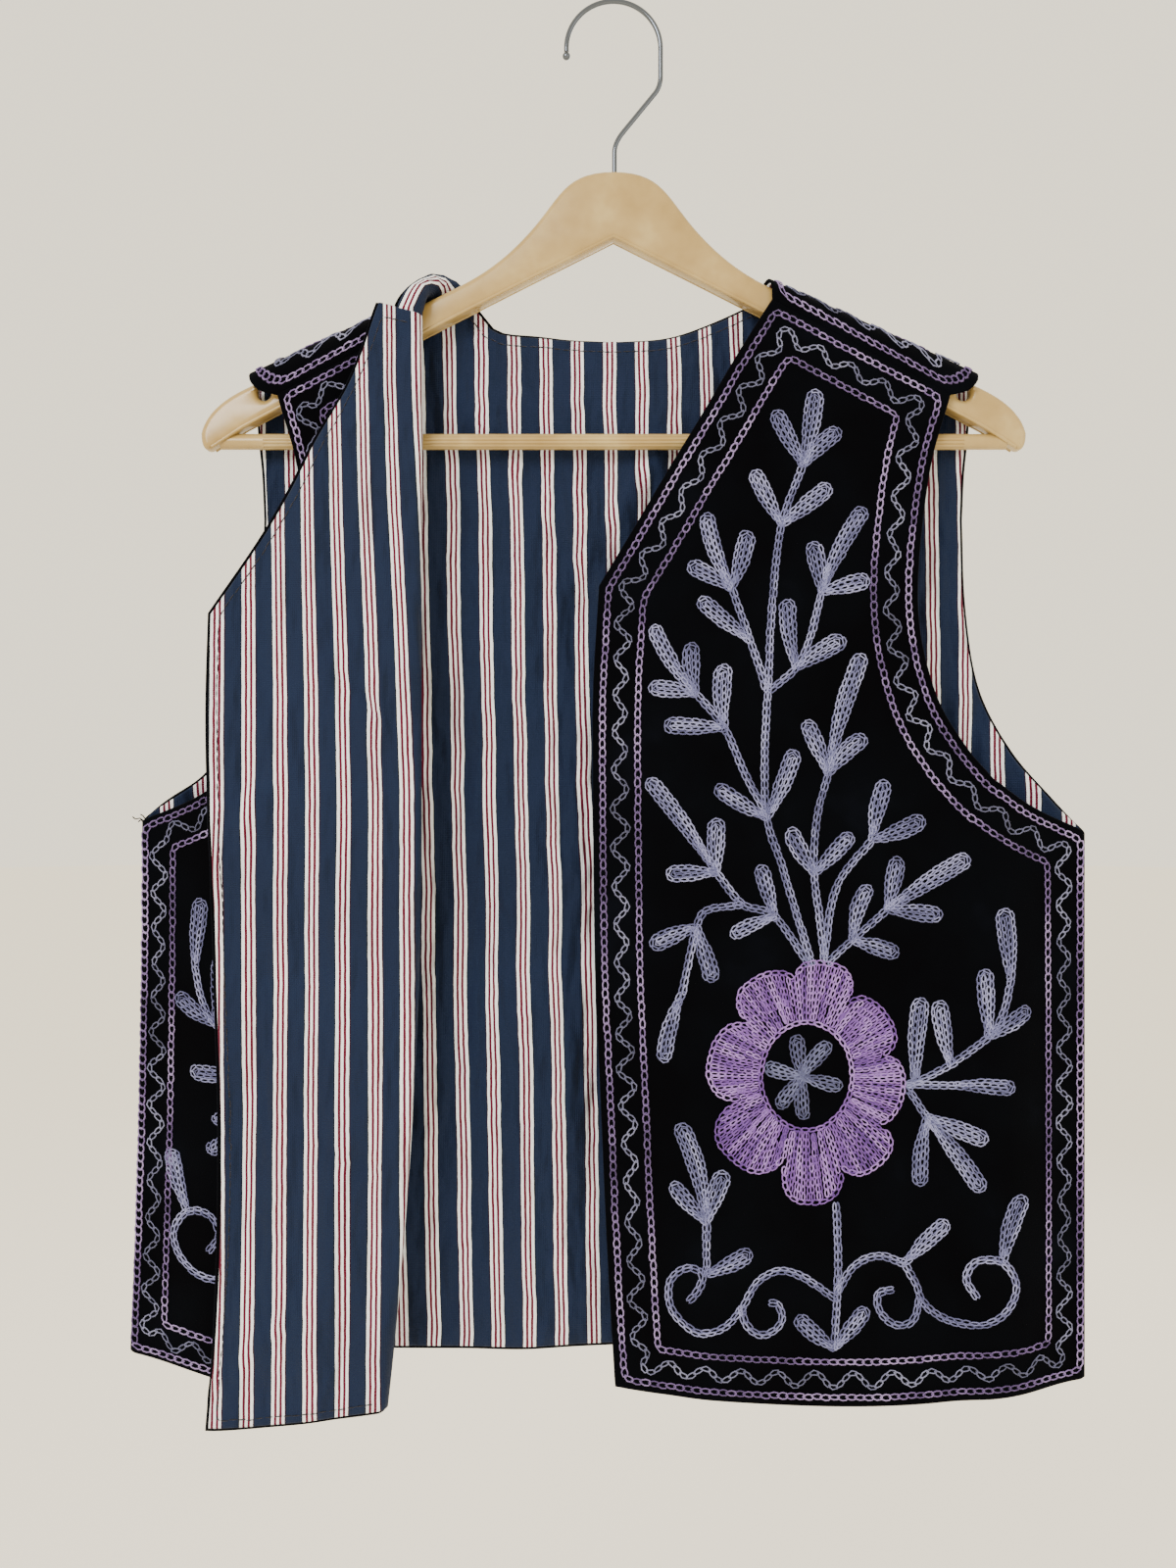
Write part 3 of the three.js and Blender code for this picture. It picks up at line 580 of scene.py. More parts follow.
def striped_cotton(name, pitch, start, pulled):
    """From band to band, where a band begins on the cut and how far bands are pulled aside, in mm."""
    material, tree, shader = new_material(name, {
        "Roughness": 0.85, "Specular IOR Level": 0.2,
        "Sheen Weight": 0.05, "Sheen Roughness": 0.5, "Sheen Tint": linear("#C8D0E8")})
    cut = add_node(tree, "ShaderNodeUVMap", uv_map="cut")
    flat = add_node(tree, "ShaderNodeSeparateXYZ", {"Vector": cut.outputs["UV"]})
    crinkle = add_node(tree, "ShaderNodeTexNoise", {
        "Vector": cut.outputs["UV"], "Scale": 1 / (7 * MM), "Detail": 3.0})
    faded = add_node(tree, "ShaderNodeTexNoise", {
        "Vector": cut.outputs["UV"], "Scale": 1 / (60 * MM), "Detail": 3.0, "Roughness": 0.5})
    bent = add_node(tree, "ShaderNodeMath", {
        0: faded.outputs["Fac"], 1: pulled * MM, 2: -(start + pulled / 2 + 0.35) * MM},
        operation="MULTIPLY_ADD")
    wander = add_node(tree, "ShaderNodeMath", {
        0: crinkle.outputs["Fac"], 1: 0.45 * MM, 2: bent.outputs[0]}, operation="MULTIPLY_ADD")
    across = add_node(tree, "ShaderNodeMath", {
        0: flat.outputs["X"], 1: wander.outputs[0]}, operation="ADD")
    turns = add_node(tree, "ShaderNodeMath", {0: across.outputs[0], 1: pitch * MM}, operation="DIVIDE")
    share = add_node(tree, "ShaderNodeMath", {0: turns.outputs[0]}, operation="FRACT")
    band = add_node(tree, "ShaderNodeValToRGB", {"Fac": share.outputs[0]})
    set_ramp(band, [(place / pitch, colour) for place, colour in STRIPES], "CONSTANT")
    worn = add_node(tree, "ShaderNodeMapRange", {
        "Value": faded.outputs["Fac"], "From Min": 0.3, "From Max": 0.7,
        "To Min": 0.82, "To Max": 1.0})
    tinted = add_node(tree, "ShaderNodeMix", {
        0: 1.0, 6: band.outputs["Color"], 7: worn.outputs["Result"]},
        data_type="RGBA", blend_type="MULTIPLY")
    tree.links.new(tinted.outputs[2], shader.inputs["Base Color"])
    weave = [add_node(tree, "ShaderNodeTexWave", {
        "Vector": cut.outputs["UV"], "Scale": WAVES_A_METRE / THREAD_PITCH},
        wave_type="BANDS", bands_direction=direction) for direction in ("X", "Y")]
    woven = add_node(tree, "ShaderNodeMath", {
        0: weave[0].outputs["Fac"], 1: weave[1].outputs["Fac"]}, operation="ADD")
    slanted = add_node(tree, "ShaderNodeMapping", {
        "Vector": cut.outputs["UV"], "Rotation": (0, 0, 0.4), "Scale": (1, 0.28, 1)})
    rumpled = add_node(tree, "ShaderNodeTexNoise", {
        "Vector": slanted.outputs["Vector"], "Scale": 1 / (15 * MM), "Detail": 2.0})
    fine = add_node(tree, "ShaderNodeMath", {
        0: woven.outputs[0], 1: 0.1, 2: crinkle.outputs["Fac"]}, operation="MULTIPLY_ADD")
    relief = add_node(tree, "ShaderNodeMath", {
        0: rumpled.outputs["Fac"], 1: RUMPLE, 2: fine.outputs[0]}, operation="MULTIPLY_ADD")
    bump = add_node(tree, "ShaderNodeBump", {
        "Height": relief.outputs[0], "Strength": 0.7, "Distance": 2.0 * MM})
    tree.links.new(bump.outputs["Normal"], shader.inputs["Normal"])
    return material


BACK_PITCH, FLAP_PITCH = 16.5, 15.4
back_cotton = striped_cotton("striped_cotton_back", BACK_PITCH, 0, 4)
left_cotton = striped_cotton("striped_cotton_left", BACK_PITCH, -5, 3)
right_cotton = striped_cotton("striped_cotton_right", FLAP_PITCH, 1.8, 1.5)
print("stripes every", BACK_PITCH, "and", FLAP_PITCH, "mm")

# %% [markdown]
# ## Cloth walls
# A garment's edge is never a sharp cut: it is turned in and pressed, so it ends in a
# soft roll. Each wall gets its two faces and one ring of points in between, pushed out a
# little. The lining stops a little inside the velvet's edge.

# %% Building a wall of cloth
TURNED_EDGE = 0.55  # how far an edge bulges, mm
VELVET_WALL = (0.15, 1.35)
LINING_WALL = (-1.15, -0.15)
LINING_INSET = 1.7


def new_piece(name, vertices, faces, material, slot):
    mesh = bpy.data.meshes.new(name)
    mesh.vertices.add(len(vertices))
    mesh.vertices.foreach_set("co", vertices.astype(np.float32).ravel())
    mesh.loops.add(faces.size)
    mesh.loops.foreach_set("vertex_index", faces.astype(np.int32).ravel())
    mesh.polygons.add(len(faces))
    starts = np.arange(0, faces.size, faces.shape[1], dtype=np.int32)
    mesh.polygons.foreach_set("loop_start", starts)
    mesh.update(calc_edges=True)
    mesh.shade_smooth()
    mesh.materials.append(material)
    piece = bpy.data.objects.new(name, mesh)
    bpy.context.scene.collection.objects.link(piece)
    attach(piece, "root")
    return piece


def weld(grids):
    """One list of flat points for several grids, and the quads between them, all the same way up."""
    flat = np.concatenate([grid.reshape(-1, 2) for grid in grids])
    _, first, merged = np.unique(np.round(flat, 3), axis=0, return_index=True, return_inverse=True)
    merged = merged.ravel()
    quads, start = [], 0
    for grid in grids:
        n = start + np.arange(grid[..., 0].size).reshape(grid.shape[:2])
        quads.append(np.stack([n[:-1, :-1], n[:-1, 1:], n[1:, 1:], n[1:, :-1]], -1).reshape(-1, 4))
        start += n.size
    quads = merged[np.concatenate(quads)]
    flat = flat[first]
    corner = flat[quads]
    diagonals = np.stack([corner[:, 2] - corner[:, 0], corner[:, 3] - corner[:, 1]], 1)
    upright = diagonals[:, 0, 0] * diagonals[:, 1, 1] - diagonals[:, 0, 1] * diagonals[:, 1, 0] > 0
    quads[~upright] = quads[~upright, ::-1]
    return flat, quads


def open_edges(quads):
    edges = np.concatenate([quads[:, [i, (i + 1) % 4]] for i in range(4)])
    known = set(map(tuple, edges.tolist()))
    return np.array([(a, b) for a, b in edges.tolist() if (b, a) not in known])


def straight_grain(flat):
    return flat[:, 0]


def leaning_grain(flat):
    """The back hangs a little askew, so its stripes lean."""
    x, z = flat.T
    return x - lerp(3, -6, (z + 690) / 520)


def turned_grain(flat):
    """The turned front's stripes run along its front edge and lean away from the neck."""
    x, z = flat.T
    near_fold = np.clip(-x / -FOLD_X, 0, 1)
    return x - 2 * (fold_line(z) - FOLD_X) - 12 * near_fold * smoothstep(z, -420, -160)


def cross_2d(a, b):
    return a[:, 0] * b[:, 1] - a[:, 1] * b[:, 0]


def cloth_wall(name, grids, panel, wall, material, slot, grain):
    flat, quads = weld(grids)
    edges = open_edges(quads)
    run = flat[edges[:, 1]] - flat[edges[:, 0]]
    run /= np.linalg.norm(run, axis=1, keepdims=True)
    away = np.zeros_like(flat)
    for end in (0, 1):
        np.add.at(away, edges[:, end], np.stack([run[:, 1], -run[:, 0]], -1))
    rim = np.unique(edges)
    away = away[rim] / np.linalg.norm(away[rim], axis=1, keepdims=True)
    rim_flat = flat[rim] + TURNED_EDGE * away
    rim_index = np.zeros(len(flat), int)
    rim_index[rim] = 2 * len(flat) + np.arange(len(rim))
    near, far = wall
    vertices = np.concatenate([
        place(panel, flat, np.full(len(flat), far)),
        place(panel, flat, np.full(len(flat), near)),
        place(panel, rim_flat, np.full(len(rim), (near + far) / 2))])
    a, b = edges.T
    inner = len(flat)
    faces = np.concatenate([
        quads,
        quads[:, ::-1] + inner,
        np.stack([b, a, rim_index[a], rim_index[b]], -1),
        np.stack([rim_index[b], rim_index[a], a + inner, b + inner], -1)])
    if panel[1] < 0:
        faces = faces[:, ::-1]
    piece = new_piece(name, vertices, faces, material, slot)
    cut = np.concatenate([flat, flat, rim_flat])
    cut[:, 0] = grain(cut)
    layer = piece.data.uv_layers.new(name="cut")
    corners = np.zeros(faces.size, np.int32)
    piece.data.loops.foreach_get("vertex_index", corners)
    layer.data.foreach_set("uv", (cut[corners] * MM).astype(np.float32).ravel())
    area = sum(np.abs(cross_2d(flat[quads[:, i]] - flat[quads[:, 0]],
                               flat[quads[:, i + 1]] - flat[quads[:, 0]])).sum() for i in (1, 2)) / 2
    size = (flat.max(0) - flat.min(0)) * MM
    print(name, len(faces) * 2, "triangles, cut", np.round(size, 3), "m,", round(area * MM * MM, 4), "m2")
    return piece, size, area * MM * MM


def drawn_in(grid):
    """The lining's cut: as the velvet's, but stopping inside its free edges."""
    side_free = smoothstep(SIDE_CUT - np.abs(grid[:, 0, 0]), 0, 12)
    edge = np.abs(grid[:, -1, 0])
    edge_free = (edge > 0.5) | (edge[0] > 0.5)  # the back's two halves meet without an edge
    moved = grid.copy()
    for k, row in enumerate(grid):
        length = np.append(0, np.cumsum(np.linalg.norm(np.diff(row, axis=0), axis=1)))
        first, last = LINING_INSET * side_free[k], length[-1] - LINING_INSET * edge_free[k]
        stops = lerp(first, last, length / length[-1])
        moved[k] = np.stack([np.interp(stops, length, row[:, i]) for i in (0, 1)], -1)
    moved[..., 1] += LINING_INSET * np.clip(1 - (moved[..., 1] - moved[0, :, 1]) / 20, 0, 1)
    return moved


CLOTHS = [
    # name, grids, panel, wall, material, slot, grain, node
    ("left_front_velvet", [left_cut], LEFT, VELVET_WALL, velvet, "velvet",
     straight_grain, "left_front_shell"),
    ("left_front_cotton", [drawn_in(left_cut)], LEFT, LINING_WALL, left_cotton,
     "lining_cotton", straight_grain, "left_front_lining"),
    ("right_front_velvet", [right_cut], RIGHT, VELVET_WALL, velvet, "velvet",
     straight_grain, "right_front_shell"),
    ("right_front_cotton", [drawn_in(right_cut)], RIGHT, LINING_WALL, right_cotton,
     "lining_cotton", turned_grain, "right_front_lining"),
    ("back_velvet", back_cuts, BACK, VELVET_WALL, velvet, "velvet",
     straight_grain, "back_shell"),
    ("back_cotton", [drawn_in(half) for half in back_cuts], BACK, LINING_WALL, back_cotton,
     "lining_cotton", leaning_grain, "back_lining"),
]
for name, grids, panel, wall, material, slot, grain, node in CLOTHS:
    piece, size, area = cloth_wall(name, grids, panel, wall, material, slot, grain)
    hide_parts(node)
    tuple(float(v) for v in size)

# %% [markdown]
# ## Chain stitch
# The whole vest is worked in chain stitch, by hand or with a hooked needle. Each stitch is
# a small open loop of thread, and the next one starts inside its round end. So one loop
# is modelled, as a ring of tube with a narrow start and a round end, and every row is
# copies of it along a line. The loops are bent along the row flat, as the needle
# made them, and then hung with their cloth.

# %% One loop of thread, and a row of them
LOOP_POINTS, LOOP_SIDES = 8, 4
VELVET_TOP = VELVET_WALL[1]
hand = np.random.default_rng(4)

turn = 2 * np.pi * np.arange(LOOP_POINTS) / LOOP_POINTS
loop_along = (1 - np.cos(turn)) / 2
loop_across = np.sin(turn) * (0.42 + 0.32 * loop_along)
tangent = np.stack([np.roll(loop_along, -1) - np.roll(loop_along, 1),
                    0.55 * (np.roll(loop_across, -1) - np.roll(loop_across, 1))])
tangent /= np.linalg.norm(tangent, axis=0)
side_turn = 2 * np.pi * np.arange(LOOP_SIDES) / LOOP_SIDES
ring_along = np.outer(tangent[1], np.cos(side_turn)).ravel()
ring_across = np.outer(-tangent[0], np.cos(side_turn)).ravel()
ring_up = np.tile(np.sin(side_turn), LOOP_POINTS)
core_along, core_across = np.repeat(loop_along, LOOP_SIDES), np.repeat(loop_across, LOOP_SIDES)
i, j = np.meshgrid(np.arange(LOOP_POINTS), np.arange(LOOP_SIDES), indexing="ij")
next_i, next_j = (i + 1) % LOOP_POINTS, (j + 1) % LOOP_SIDES
LOOP_QUADS = np.stack([i * LOOP_SIDES + j, next_i * LOOP_SIDES + j,
                       next_i * LOOP_SIDES + next_j, i * LOOP_SIDES + next_j], -1).reshape(-1, 4)


def beside(line, along, across, closed):
    """Flat points next to a line: so far along it and so far to its left."""
    length = np.append(0, np.cumsum(np.linalg.norm(np.diff(line, axis=0), axis=1)))
    total = length[-1]

    def at(s):
        s = s % total if closed else np.clip(s, 0, total)
        return np.stack([np.interp(s, length, line[:, k]) for k in (0, 1)], -1)

    reach = min(0.5, total / 4)
    near = along if closed else np.clip(along, 0, total)
    low = near - reach if closed else np.clip(near - reach, 0, total - 2 * reach)
    heading = at(low + 2 * reach) - at(low)
    heading /= np.maximum(np.linalg.norm(heading, axis=-1, keepdims=True), 1e-9)
    sideways = np.stack([-heading[..., 1], heading[..., 0]], -1)
    return at(near) + (along - near)[..., None] * heading + across[..., None] * sideways


def spaced(line, pitch, closed):
    """The line closed if need be, where each stitch starts and how long a stitch is."""
    line = np.asarray(line, float)
    line = np.vstack([line, line[:1]]) if closed else line
    total = np.linalg.norm(np.diff(line, axis=0), axis=1).sum()
    count = max(1, round(total / pitch))
    return line, np.arange(count)[:, None] * total / count, total / count


def drifting(starts):
    """A shade for each stitch that drifts along its row."""
    wave = 0.28 * np.sin(starts / 23.0 + hand.uniform(0, 6))
    return np.clip(0.5 + wave + 0.13 * hand.standard_normal(starts.shape), 0, 1)


def chain_row(line, width=2.7, pitch=4.4, thread=0.8, closed=False, lift=0.0):
    """A row of loops along a flat line: their flat points, heights and shade, a row for each loop."""
    line, starts, long = spaced(line, pitch, closed)
    widths = width * (1 + 0.07 * hand.standard_normal(starts.shape))
    along = starts + long * 1.22 * core_along + thread / 2 * ring_along
    across = widths * core_across + thread / 2 * ring_across
    across = across + 0.12 * hand.standard_normal(starts.shape)
    height = VELVET_TOP + lift + thread * (0.3 + 0.45 * core_along) + thread / 2 * ring_up
    shade = np.broadcast_to(drifting(starts), along.shape)
    return beside(line, along, across, closed), np.broadcast_to(height, along.shape), shade


def sewn(name, panel, rows, material, quads=LOOP_QUADS):
    flat, height, tone = (np.concatenate(parts) for parts in zip(*rows))
    vertices = place(panel, flat, height).reshape(-1, 3)
    count, size = flat.shape[:2]
    faces = (quads[None] + size * np.arange(count)[:, None, None]).reshape(-1, 4)
    piece = new_piece(name, vertices, faces, material, "embroidery_thread")
    shade = piece.data.attributes.new("shade", "FLOAT", "POINT")
    shade.data.foreach_set("value", tone.astype(np.float32).ravel())
    print(name, count, "stitches,", len(faces) * 2, "triangles")
    return piece


# %% [markdown]
# ### The thread
# It is a loosely twisted floss, dyed unevenly in the skein, so its colour drifts along a
# row. A fine noise stands for the strands, and a little sheen for the soft fibre.

# %% Embroidery floss


def floss(name, stops):
    material, tree, shader = new_material(name, {
        "Roughness": 0.62, "Specular IOR Level": 0.3,
        "Sheen Weight": 0.25, "Sheen Roughness": 0.4, "Sheen Tint": linear("#D8D0F0")})
    shade = add_node(tree, "ShaderNodeAttribute", attribute_name="shade")
    place_of = add_node(tree, "ShaderNodeTexCoord").outputs["Object"]
    strands = add_node(tree, "ShaderNodeTexNoise", {
        "Vector": place_of, "Scale": 1 / (0.9 * MM), "Detail": 2.0})
    mixed = add_node(tree, "ShaderNodeMath", {
        0: strands.outputs["Fac"], 1: 0.55, 2: shade.outputs["Fac"]}, operation="MULTIPLY_ADD")
    level = add_node(tree, "ShaderNodeMath", {0: mixed.outputs[0], 1: 0.27}, operation="SUBTRACT")
    dyed = add_node(tree, "ShaderNodeValToRGB", {"Fac": level.outputs[0]})
    set_ramp(dyed, stops)
    tree.links.new(dyed.outputs["Color"], shader.inputs["Base Color"])
    bump = add_node(tree, "ShaderNodeBump", {
        "Height": strands.outputs["Fac"], "Strength": 0.5, "Distance": 0.3 * MM})
    tree.links.new(bump.outputs["Normal"], shader.inputs["Normal"])
    return material


lilac_floss = floss("lilac_cotton_floss", [(0.1, "#45345E"), (0.5, "#6B5688"), (0.9, "#9682B2")])
grey_floss = floss("grey_lavender_cotton_floss", [(0.1, "#42445C"), (0.5, "#5C5E7C"), (0.9, "#7E809E")])
muted_floss = floss("muted_violet_cotton_floss", [(0.1, "#37395A"), (0.5, "#4E5174"), (0.9, "#6C7096")])
blue_floss = floss("blue_lavender_cotton_floss", [(0.1, "#4A4C72"), (0.5, "#686A94"), (0.9, "#8E90B8")])
orchid_floss = floss("orchid_cotton_floss", [(0.1, "#573380"), (0.5, "#7C52A4"), (0.9, "#A580C8")])

# %% [markdown]
# ### Borders
# Every panel has the same three rows, following all its edges: a lilac chain close to
# the edge, a wavy grey one, and a second lilac chain. They come from the panel's own
# outline, moved inwards.

# %% Border rows
LEFT_ROWS, RIGHT_ROWS, BACK_ROWS = (4.4, 13.0, 22.0), (3.4, 10.6, 18.2), (4.4, 12.6, 21.0)
WAVE_LENGTH, WAVE_REACH = 18.8, 3.3


def evenly(line, step, closed=True):
    line = np.vstack([line, line[:1]]) if closed else np.asarray(line, float)
    length = np.append(0, np.cumsum(np.linalg.norm(np.diff(line, axis=0), axis=1)))
    count = max(2, round(length[-1] / step))
    s = np.linspace(0, length[-1], count, endpoint=not closed)
    return np.stack([np.interp(s, length, line[:, k]) for k in (0, 1)], -1)


def rounded(line, reach):
    """A closed, evenly spaced line with its corners rounded over a reach in points."""
    box = np.ones(reach) / reach
    wrapped = np.vstack([line[-reach:], line, line[:reach]])
    soft = np.stack([np.convolve(wrapped[:, k], box, "same") for k in (0, 1)], -1)
    return soft[reach:-reach]


def inside(outline, distance):
    outline = evenly(outline, 1.0)
    heading = np.roll(outline, -1, 0) - np.roll(outline, 1, 0)
    heading /= np.linalg.norm(heading, axis=1, keepdims=True)
    x, z = outline.T
    left_hand = np.sum(x * np.roll(z, -1) - np.roll(x, -1) * z) > 0
    inwards = np.stack([-heading[:, 1], heading[:, 0]], -1) * (1 if left_hand else -1)
    moved = outline + distance * inwards
    gap = np.array([np.hypot(*(outline - p).T).min() for p in moved])
    line = evenly(moved[gap > distance - 0.25], 1.0)
    return rounded(rounded(line, 5), 5)


def wavy(line):
    line = evenly(line, 1.0)
    s = np.arange(len(line))
    waves = round(len(line) / WAVE_LENGTH)
    phase = 2 * np.pi * waves * s / len(line) + 0.5 * np.sin(2 * np.pi * 7 * s / len(line))
    heading = np.roll(line, -1, 0) - np.roll(line, 1, 0)
    heading /= np.linalg.norm(heading, axis=1, keepdims=True)
    reach = WAVE_REACH * (1 + 0.18 * np.sin(2 * np.pi * 11 * s / len(line) + 1))
    offset = (reach * np.sin(phase))[:, None]
    return line + offset * np.stack([-heading[:, 1], heading[:, 0]], -1)


def front_outline(grid):
    return np.vstack([grid[:, 0], grid[-1], grid[::-1, -1], grid[0, ::-1]])


def back_outline(halves):
    sides = []
    for half in halves:
        neck = half[::-1, -1]
        neck = neck[np.abs(neck[:, 0]) > 0.5]
        sides.append(np.vstack([half[0, ::-1], half[:, 0], half[-1], neck]))
    return np.vstack([sides[0], sides[1][::-1]])


# each panel with its outline and how far inside it the three rows are
BORDERED = [("left_front", LEFT, front_outline(left_cut), LEFT_ROWS),
            ("right_front", RIGHT, front_outline(right_cut), RIGHT_ROWS),
            ("back", BACK, back_outline(back_cuts), BACK_ROWS)]


def seen_on(name, row):
    """The turned front's velvet is only seen up to its fold, so its rows stop a little past it."""
    if name != "right_front":
        return row
    middle = row[0].mean(1)
    seen = middle[:, 0] < fold_line(middle[:, 1]) + 9
    return tuple(part[seen] for part in row)


for name, panel, outline, (outer, middle, inner) in BORDERED:
    chains = [chain_row(inside(outline, d), 2.4, 4.3, 0.75, closed=True) for d in (outer, inner)]
    sewn(name + "_lilac_borders", panel, [seen_on(name, row) for row in chains], lilac_floss)
    wave = chain_row(wavy(inside(outline, middle)), 2.0, 4.2, 0.68, closed=True)
    sewn(name + "_wavy_border", panel, [seen_on(name, wave)], grey_floss)

# %% [markdown]
# ### The plant
# A branching plant fills each front: stems of two close rows, and club-shaped leaves of
# four rows that meet at the leaf's foot. The table lists the leaves in sprigs: where a
# sprig's leaves meet, then each leaf's length and the way that it points, in degrees
# from straight up and turning towards the side seam.

# %% Leaves and stems
LEAF_HALF_WIDTH = 3.3  # to the middle of its outer row


def leaf_rows(foot, length, angle, half_width=LEAF_HALF_WIDTH):
    """Rows of a club-shaped leaf: two that each go up one side, round the tip and down the other."""
    angle = np.radians(angle)
    ahead = np.array([np.sin(angle), np.cos(angle)])
    aside = np.array([ahead[1], -ahead[0]])
    half_width = half_width * (1 + 0.06 * hand.standard_normal())
    bow = 0.03 * length * hand.standard_normal()
    rows = []
    for share, start in ((1.0, 0.0), (0.34, 0.1)):
        reach = share * half_width
        straight = length - half_width - 1.2
        t = np.linspace(start, 1, 12)
        grown = 0.3 + 0.7 * smoothstep(t, 0, 0.7)
        round_tip = np.radians(np.linspace(90, -90, 9)[1:-1])
        along = np.concatenate([
            t * straight, straight + reach * np.cos(round_tip) * 1.1, t[::-1] * straight])
        across = np.concatenate([
            reach * grown, reach * np.sin(round_tip), -(reach * grown)[::-1]])
        across = across + bow * np.sin(np.pi * np.clip(along / length, 0, 1))
        rows.append(foot + along[:, None] * ahead + across[:, None] * aside)
    return [chain_row(rows[0], 1.5, 3.8, 0.72), chain_row(rows[1], 1.5, 3.6, 0.72, lift=0.08)]


def smooth_line(knots, step=1.0):
    knots = np.asarray(knots, float)
    if len(knots) == 2:
        return evenly(knots, step, closed=False)
    slopes = np.gradient(knots, axis=0)
    f = np.linspace(0, 1, 12, endpoint=False)[:, None]
    parts = [(1 + 2 * f) * (1 - f) ** 2 * knots[k] + f * (1 - f) ** 2 * slopes[k]
             + f ** 2 * (3 - 2 * f) * knots[k + 1] + f ** 2 * (f - 1) * slopes[k + 1]
             for k in range(len(knots) - 1)]
    return evenly(np.vstack(parts + [knots[-1:]]), step, closed=False)


def stem_rows(knots, spread=0.9):
    line = smooth_line(knots)
    heading = np.gradient(line, axis=0)
    heading /= np.linalg.norm(heading, axis=1, keepdims=True)
    aside = np.stack([-heading[:, 1], heading[:, 0]], -1)
    return [chain_row(line + side * spread * aside, 1.4, 4.0, 0.72) for side in (-1, 1)]


# The foot of each sprig, then its leaves as (length, angle)
SPRIGS = [
    ((95, -238), [(39, 10), (31, -27), (26, 45)]),
    ((84, -268), [(31, -27), (32, 51)]),
    ((59, -300), [(40, -19), (30, 16), (25, -62)]),
    ((68, -326), [(33, -51)]),
    ((104, -302), [(48, 27), (26, -10), (25, 75)]),
    ((91, -340), [(35, -7), (29, 59)]),
    ((41, -353), [(41, -32), (26, -5), (24, -82)]),
    ((55, -370), [(32, 0), (30, -87)]),
    ((107, -393), [(63, 16), (29, -23), (27, 45)]),
    ((76, -415), [(30, -58), (37, 23)]),
    ((51, -442), [(58, -36), (27, 1), (25, -92)]),
    ((80, -464), [(27, -16), (24, -113)]),
    ((41, -469), [(25, -114), (29, 163)]),
    ((100, -443), [(26, -29), (28, 44)]),
    ((129, -426), [(31, 13), (29, 69)]),
    ((137, -461), [(27, 12), (49, 57), (28, 96)]),
    ((119, -476), [(29, 17), (25, 107)]),
    ((198, -496), [(36, -5)]),
    ((187, -524), [(34, -3), (25, 57)]),
    ((151, -549), [(44, 4)]),
    ((169, -539), [(33, -10)]),
    ((171, -549), [(29, 92)]),
    ((157, -565), [(32, 111), (46, 143), (35, -174)]),
    ((46, -616), [(51, -15), (27, 19), (26, -42)]),
    ((46, -642), [(25, 65)]),
    ((110, -680), [(25, -50), (26, 39)]),
    ((145, -638), [(31, 48)]),
    ((194, -637), [(35, 17)]),
    ((34, -502), [(36, -165)]),
]
STEMS = [
    [(95, -238), (84, -268), (79, -310), (77, -350), (75, -385), (76, -415), (84, -440),
     (92, -466), (99, -488)],
    [(41, -353), (55, -370), (66, -395), (76, -413)],
    [(59, -300), (68, -326), (76, -350)],
    [(104, -302), (98, -325), (91, -340), (78, -351)],
    [(107, -393), (101, -417), (100, -443), (103, -467), (105, -486)],
    [(129, -426), (111, -450), (105, -484)],
    [(137, -461), (119, -476), (107, -487)],
    [(51, -442), (64, -458), (80, -464), (97, -488)],
    [(41, -469), (46, -461), (63, -458)],
    [(41, -469), (34, -502)],
    [(146, -549), (165, -541), (187, -524), (194, -512), (198, -496)],
    [(146, -549), (171, -549)],
    [(146, -549), (157, -565)],
    [(46, -616), (46, -642)],
    [(111, -607), (112, -640), (110, -680)],
    [(37, -656), (42, -650), (44, -642), (37, -639), (28, -646), (29, -660), (41, -671),
     (54, -669), (63, -660), (72, -646), (84, -641), (97, -646), (110, -655)],
    [(63, -658), (66, -668), (73, -673), (80, -671), (84, -665), (82, -658), (78, -657)],
    [(111, -653), (120, -639), (132, -634), (145, -638)],
    [(145, -638), (151, -648), (155, -658), (167, -667), (184, -669), (196, -662), (201, -649),
     (194, -637), (182, -637), (177, -646), (182, -655)],
    [(153, -655), (150, -666), (142, -669), (133, -662), (132, -653), (139, -651)],
]

# %% [markdown]
# ### The large flower
# Eight unequal petals round an open middle, all one colour. Each petal is filled with
# rows that run outwards, and extra short rows fill in where they spread apart. One row
# goes round the middle and one round each petal's rim. A small six-lobed flower sits
# inside.

# %% Flower
FLOWER = np.array([96, -544.0])
HOLE = np.array([22.5, 26.5])  # half its width and height
# where each petal starts, how far out that notch is, and how far the petal reaches
PETALS = [(-7, 48, 58), (29, 40, 51), (76, 37, 50), (123, 43, 58), (159, 45, 64), (195, 37, 56),
          (251, 30, 50), (312, 36, 56)]
STARTS = np.array([petal[0] for petal in PETALS] + [353.0])


def flower_rim(angle):
    """How far the scalloped rim is from the middle, at an angle in degrees."""
    angle = (np.asarray(angle, float) + 7) % 360 - 7
    notch = np.array([petal[1] for petal in PETALS] + [PETALS[0][1]], float)
    which = np.clip(np.searchsorted(STARTS, angle, "right") - 1, 0, 7)
    share = (angle - STARTS[which]) / (STARTS[which + 1] - STARTS[which])
    base = lerp(notch[which], notch[which + 1], share)
    reach = np.array([petal[2] for petal in PETALS], float)[which]
    return base + (reach - base) * (1 - np.abs(2 * share - 1) ** 3) ** 0.55


def around(angle, radius):
    a = np.radians(angle)
    return FLOWER + np.stack([np.sin(a) * radius, np.cos(a) * radius], -1)


def hole_rim(angle):
    a = np.radians(angle)
    return 1 / np.hypot(np.sin(a) / HOLE[0], np.cos(a) / HOLE[1])


RAYS = 156


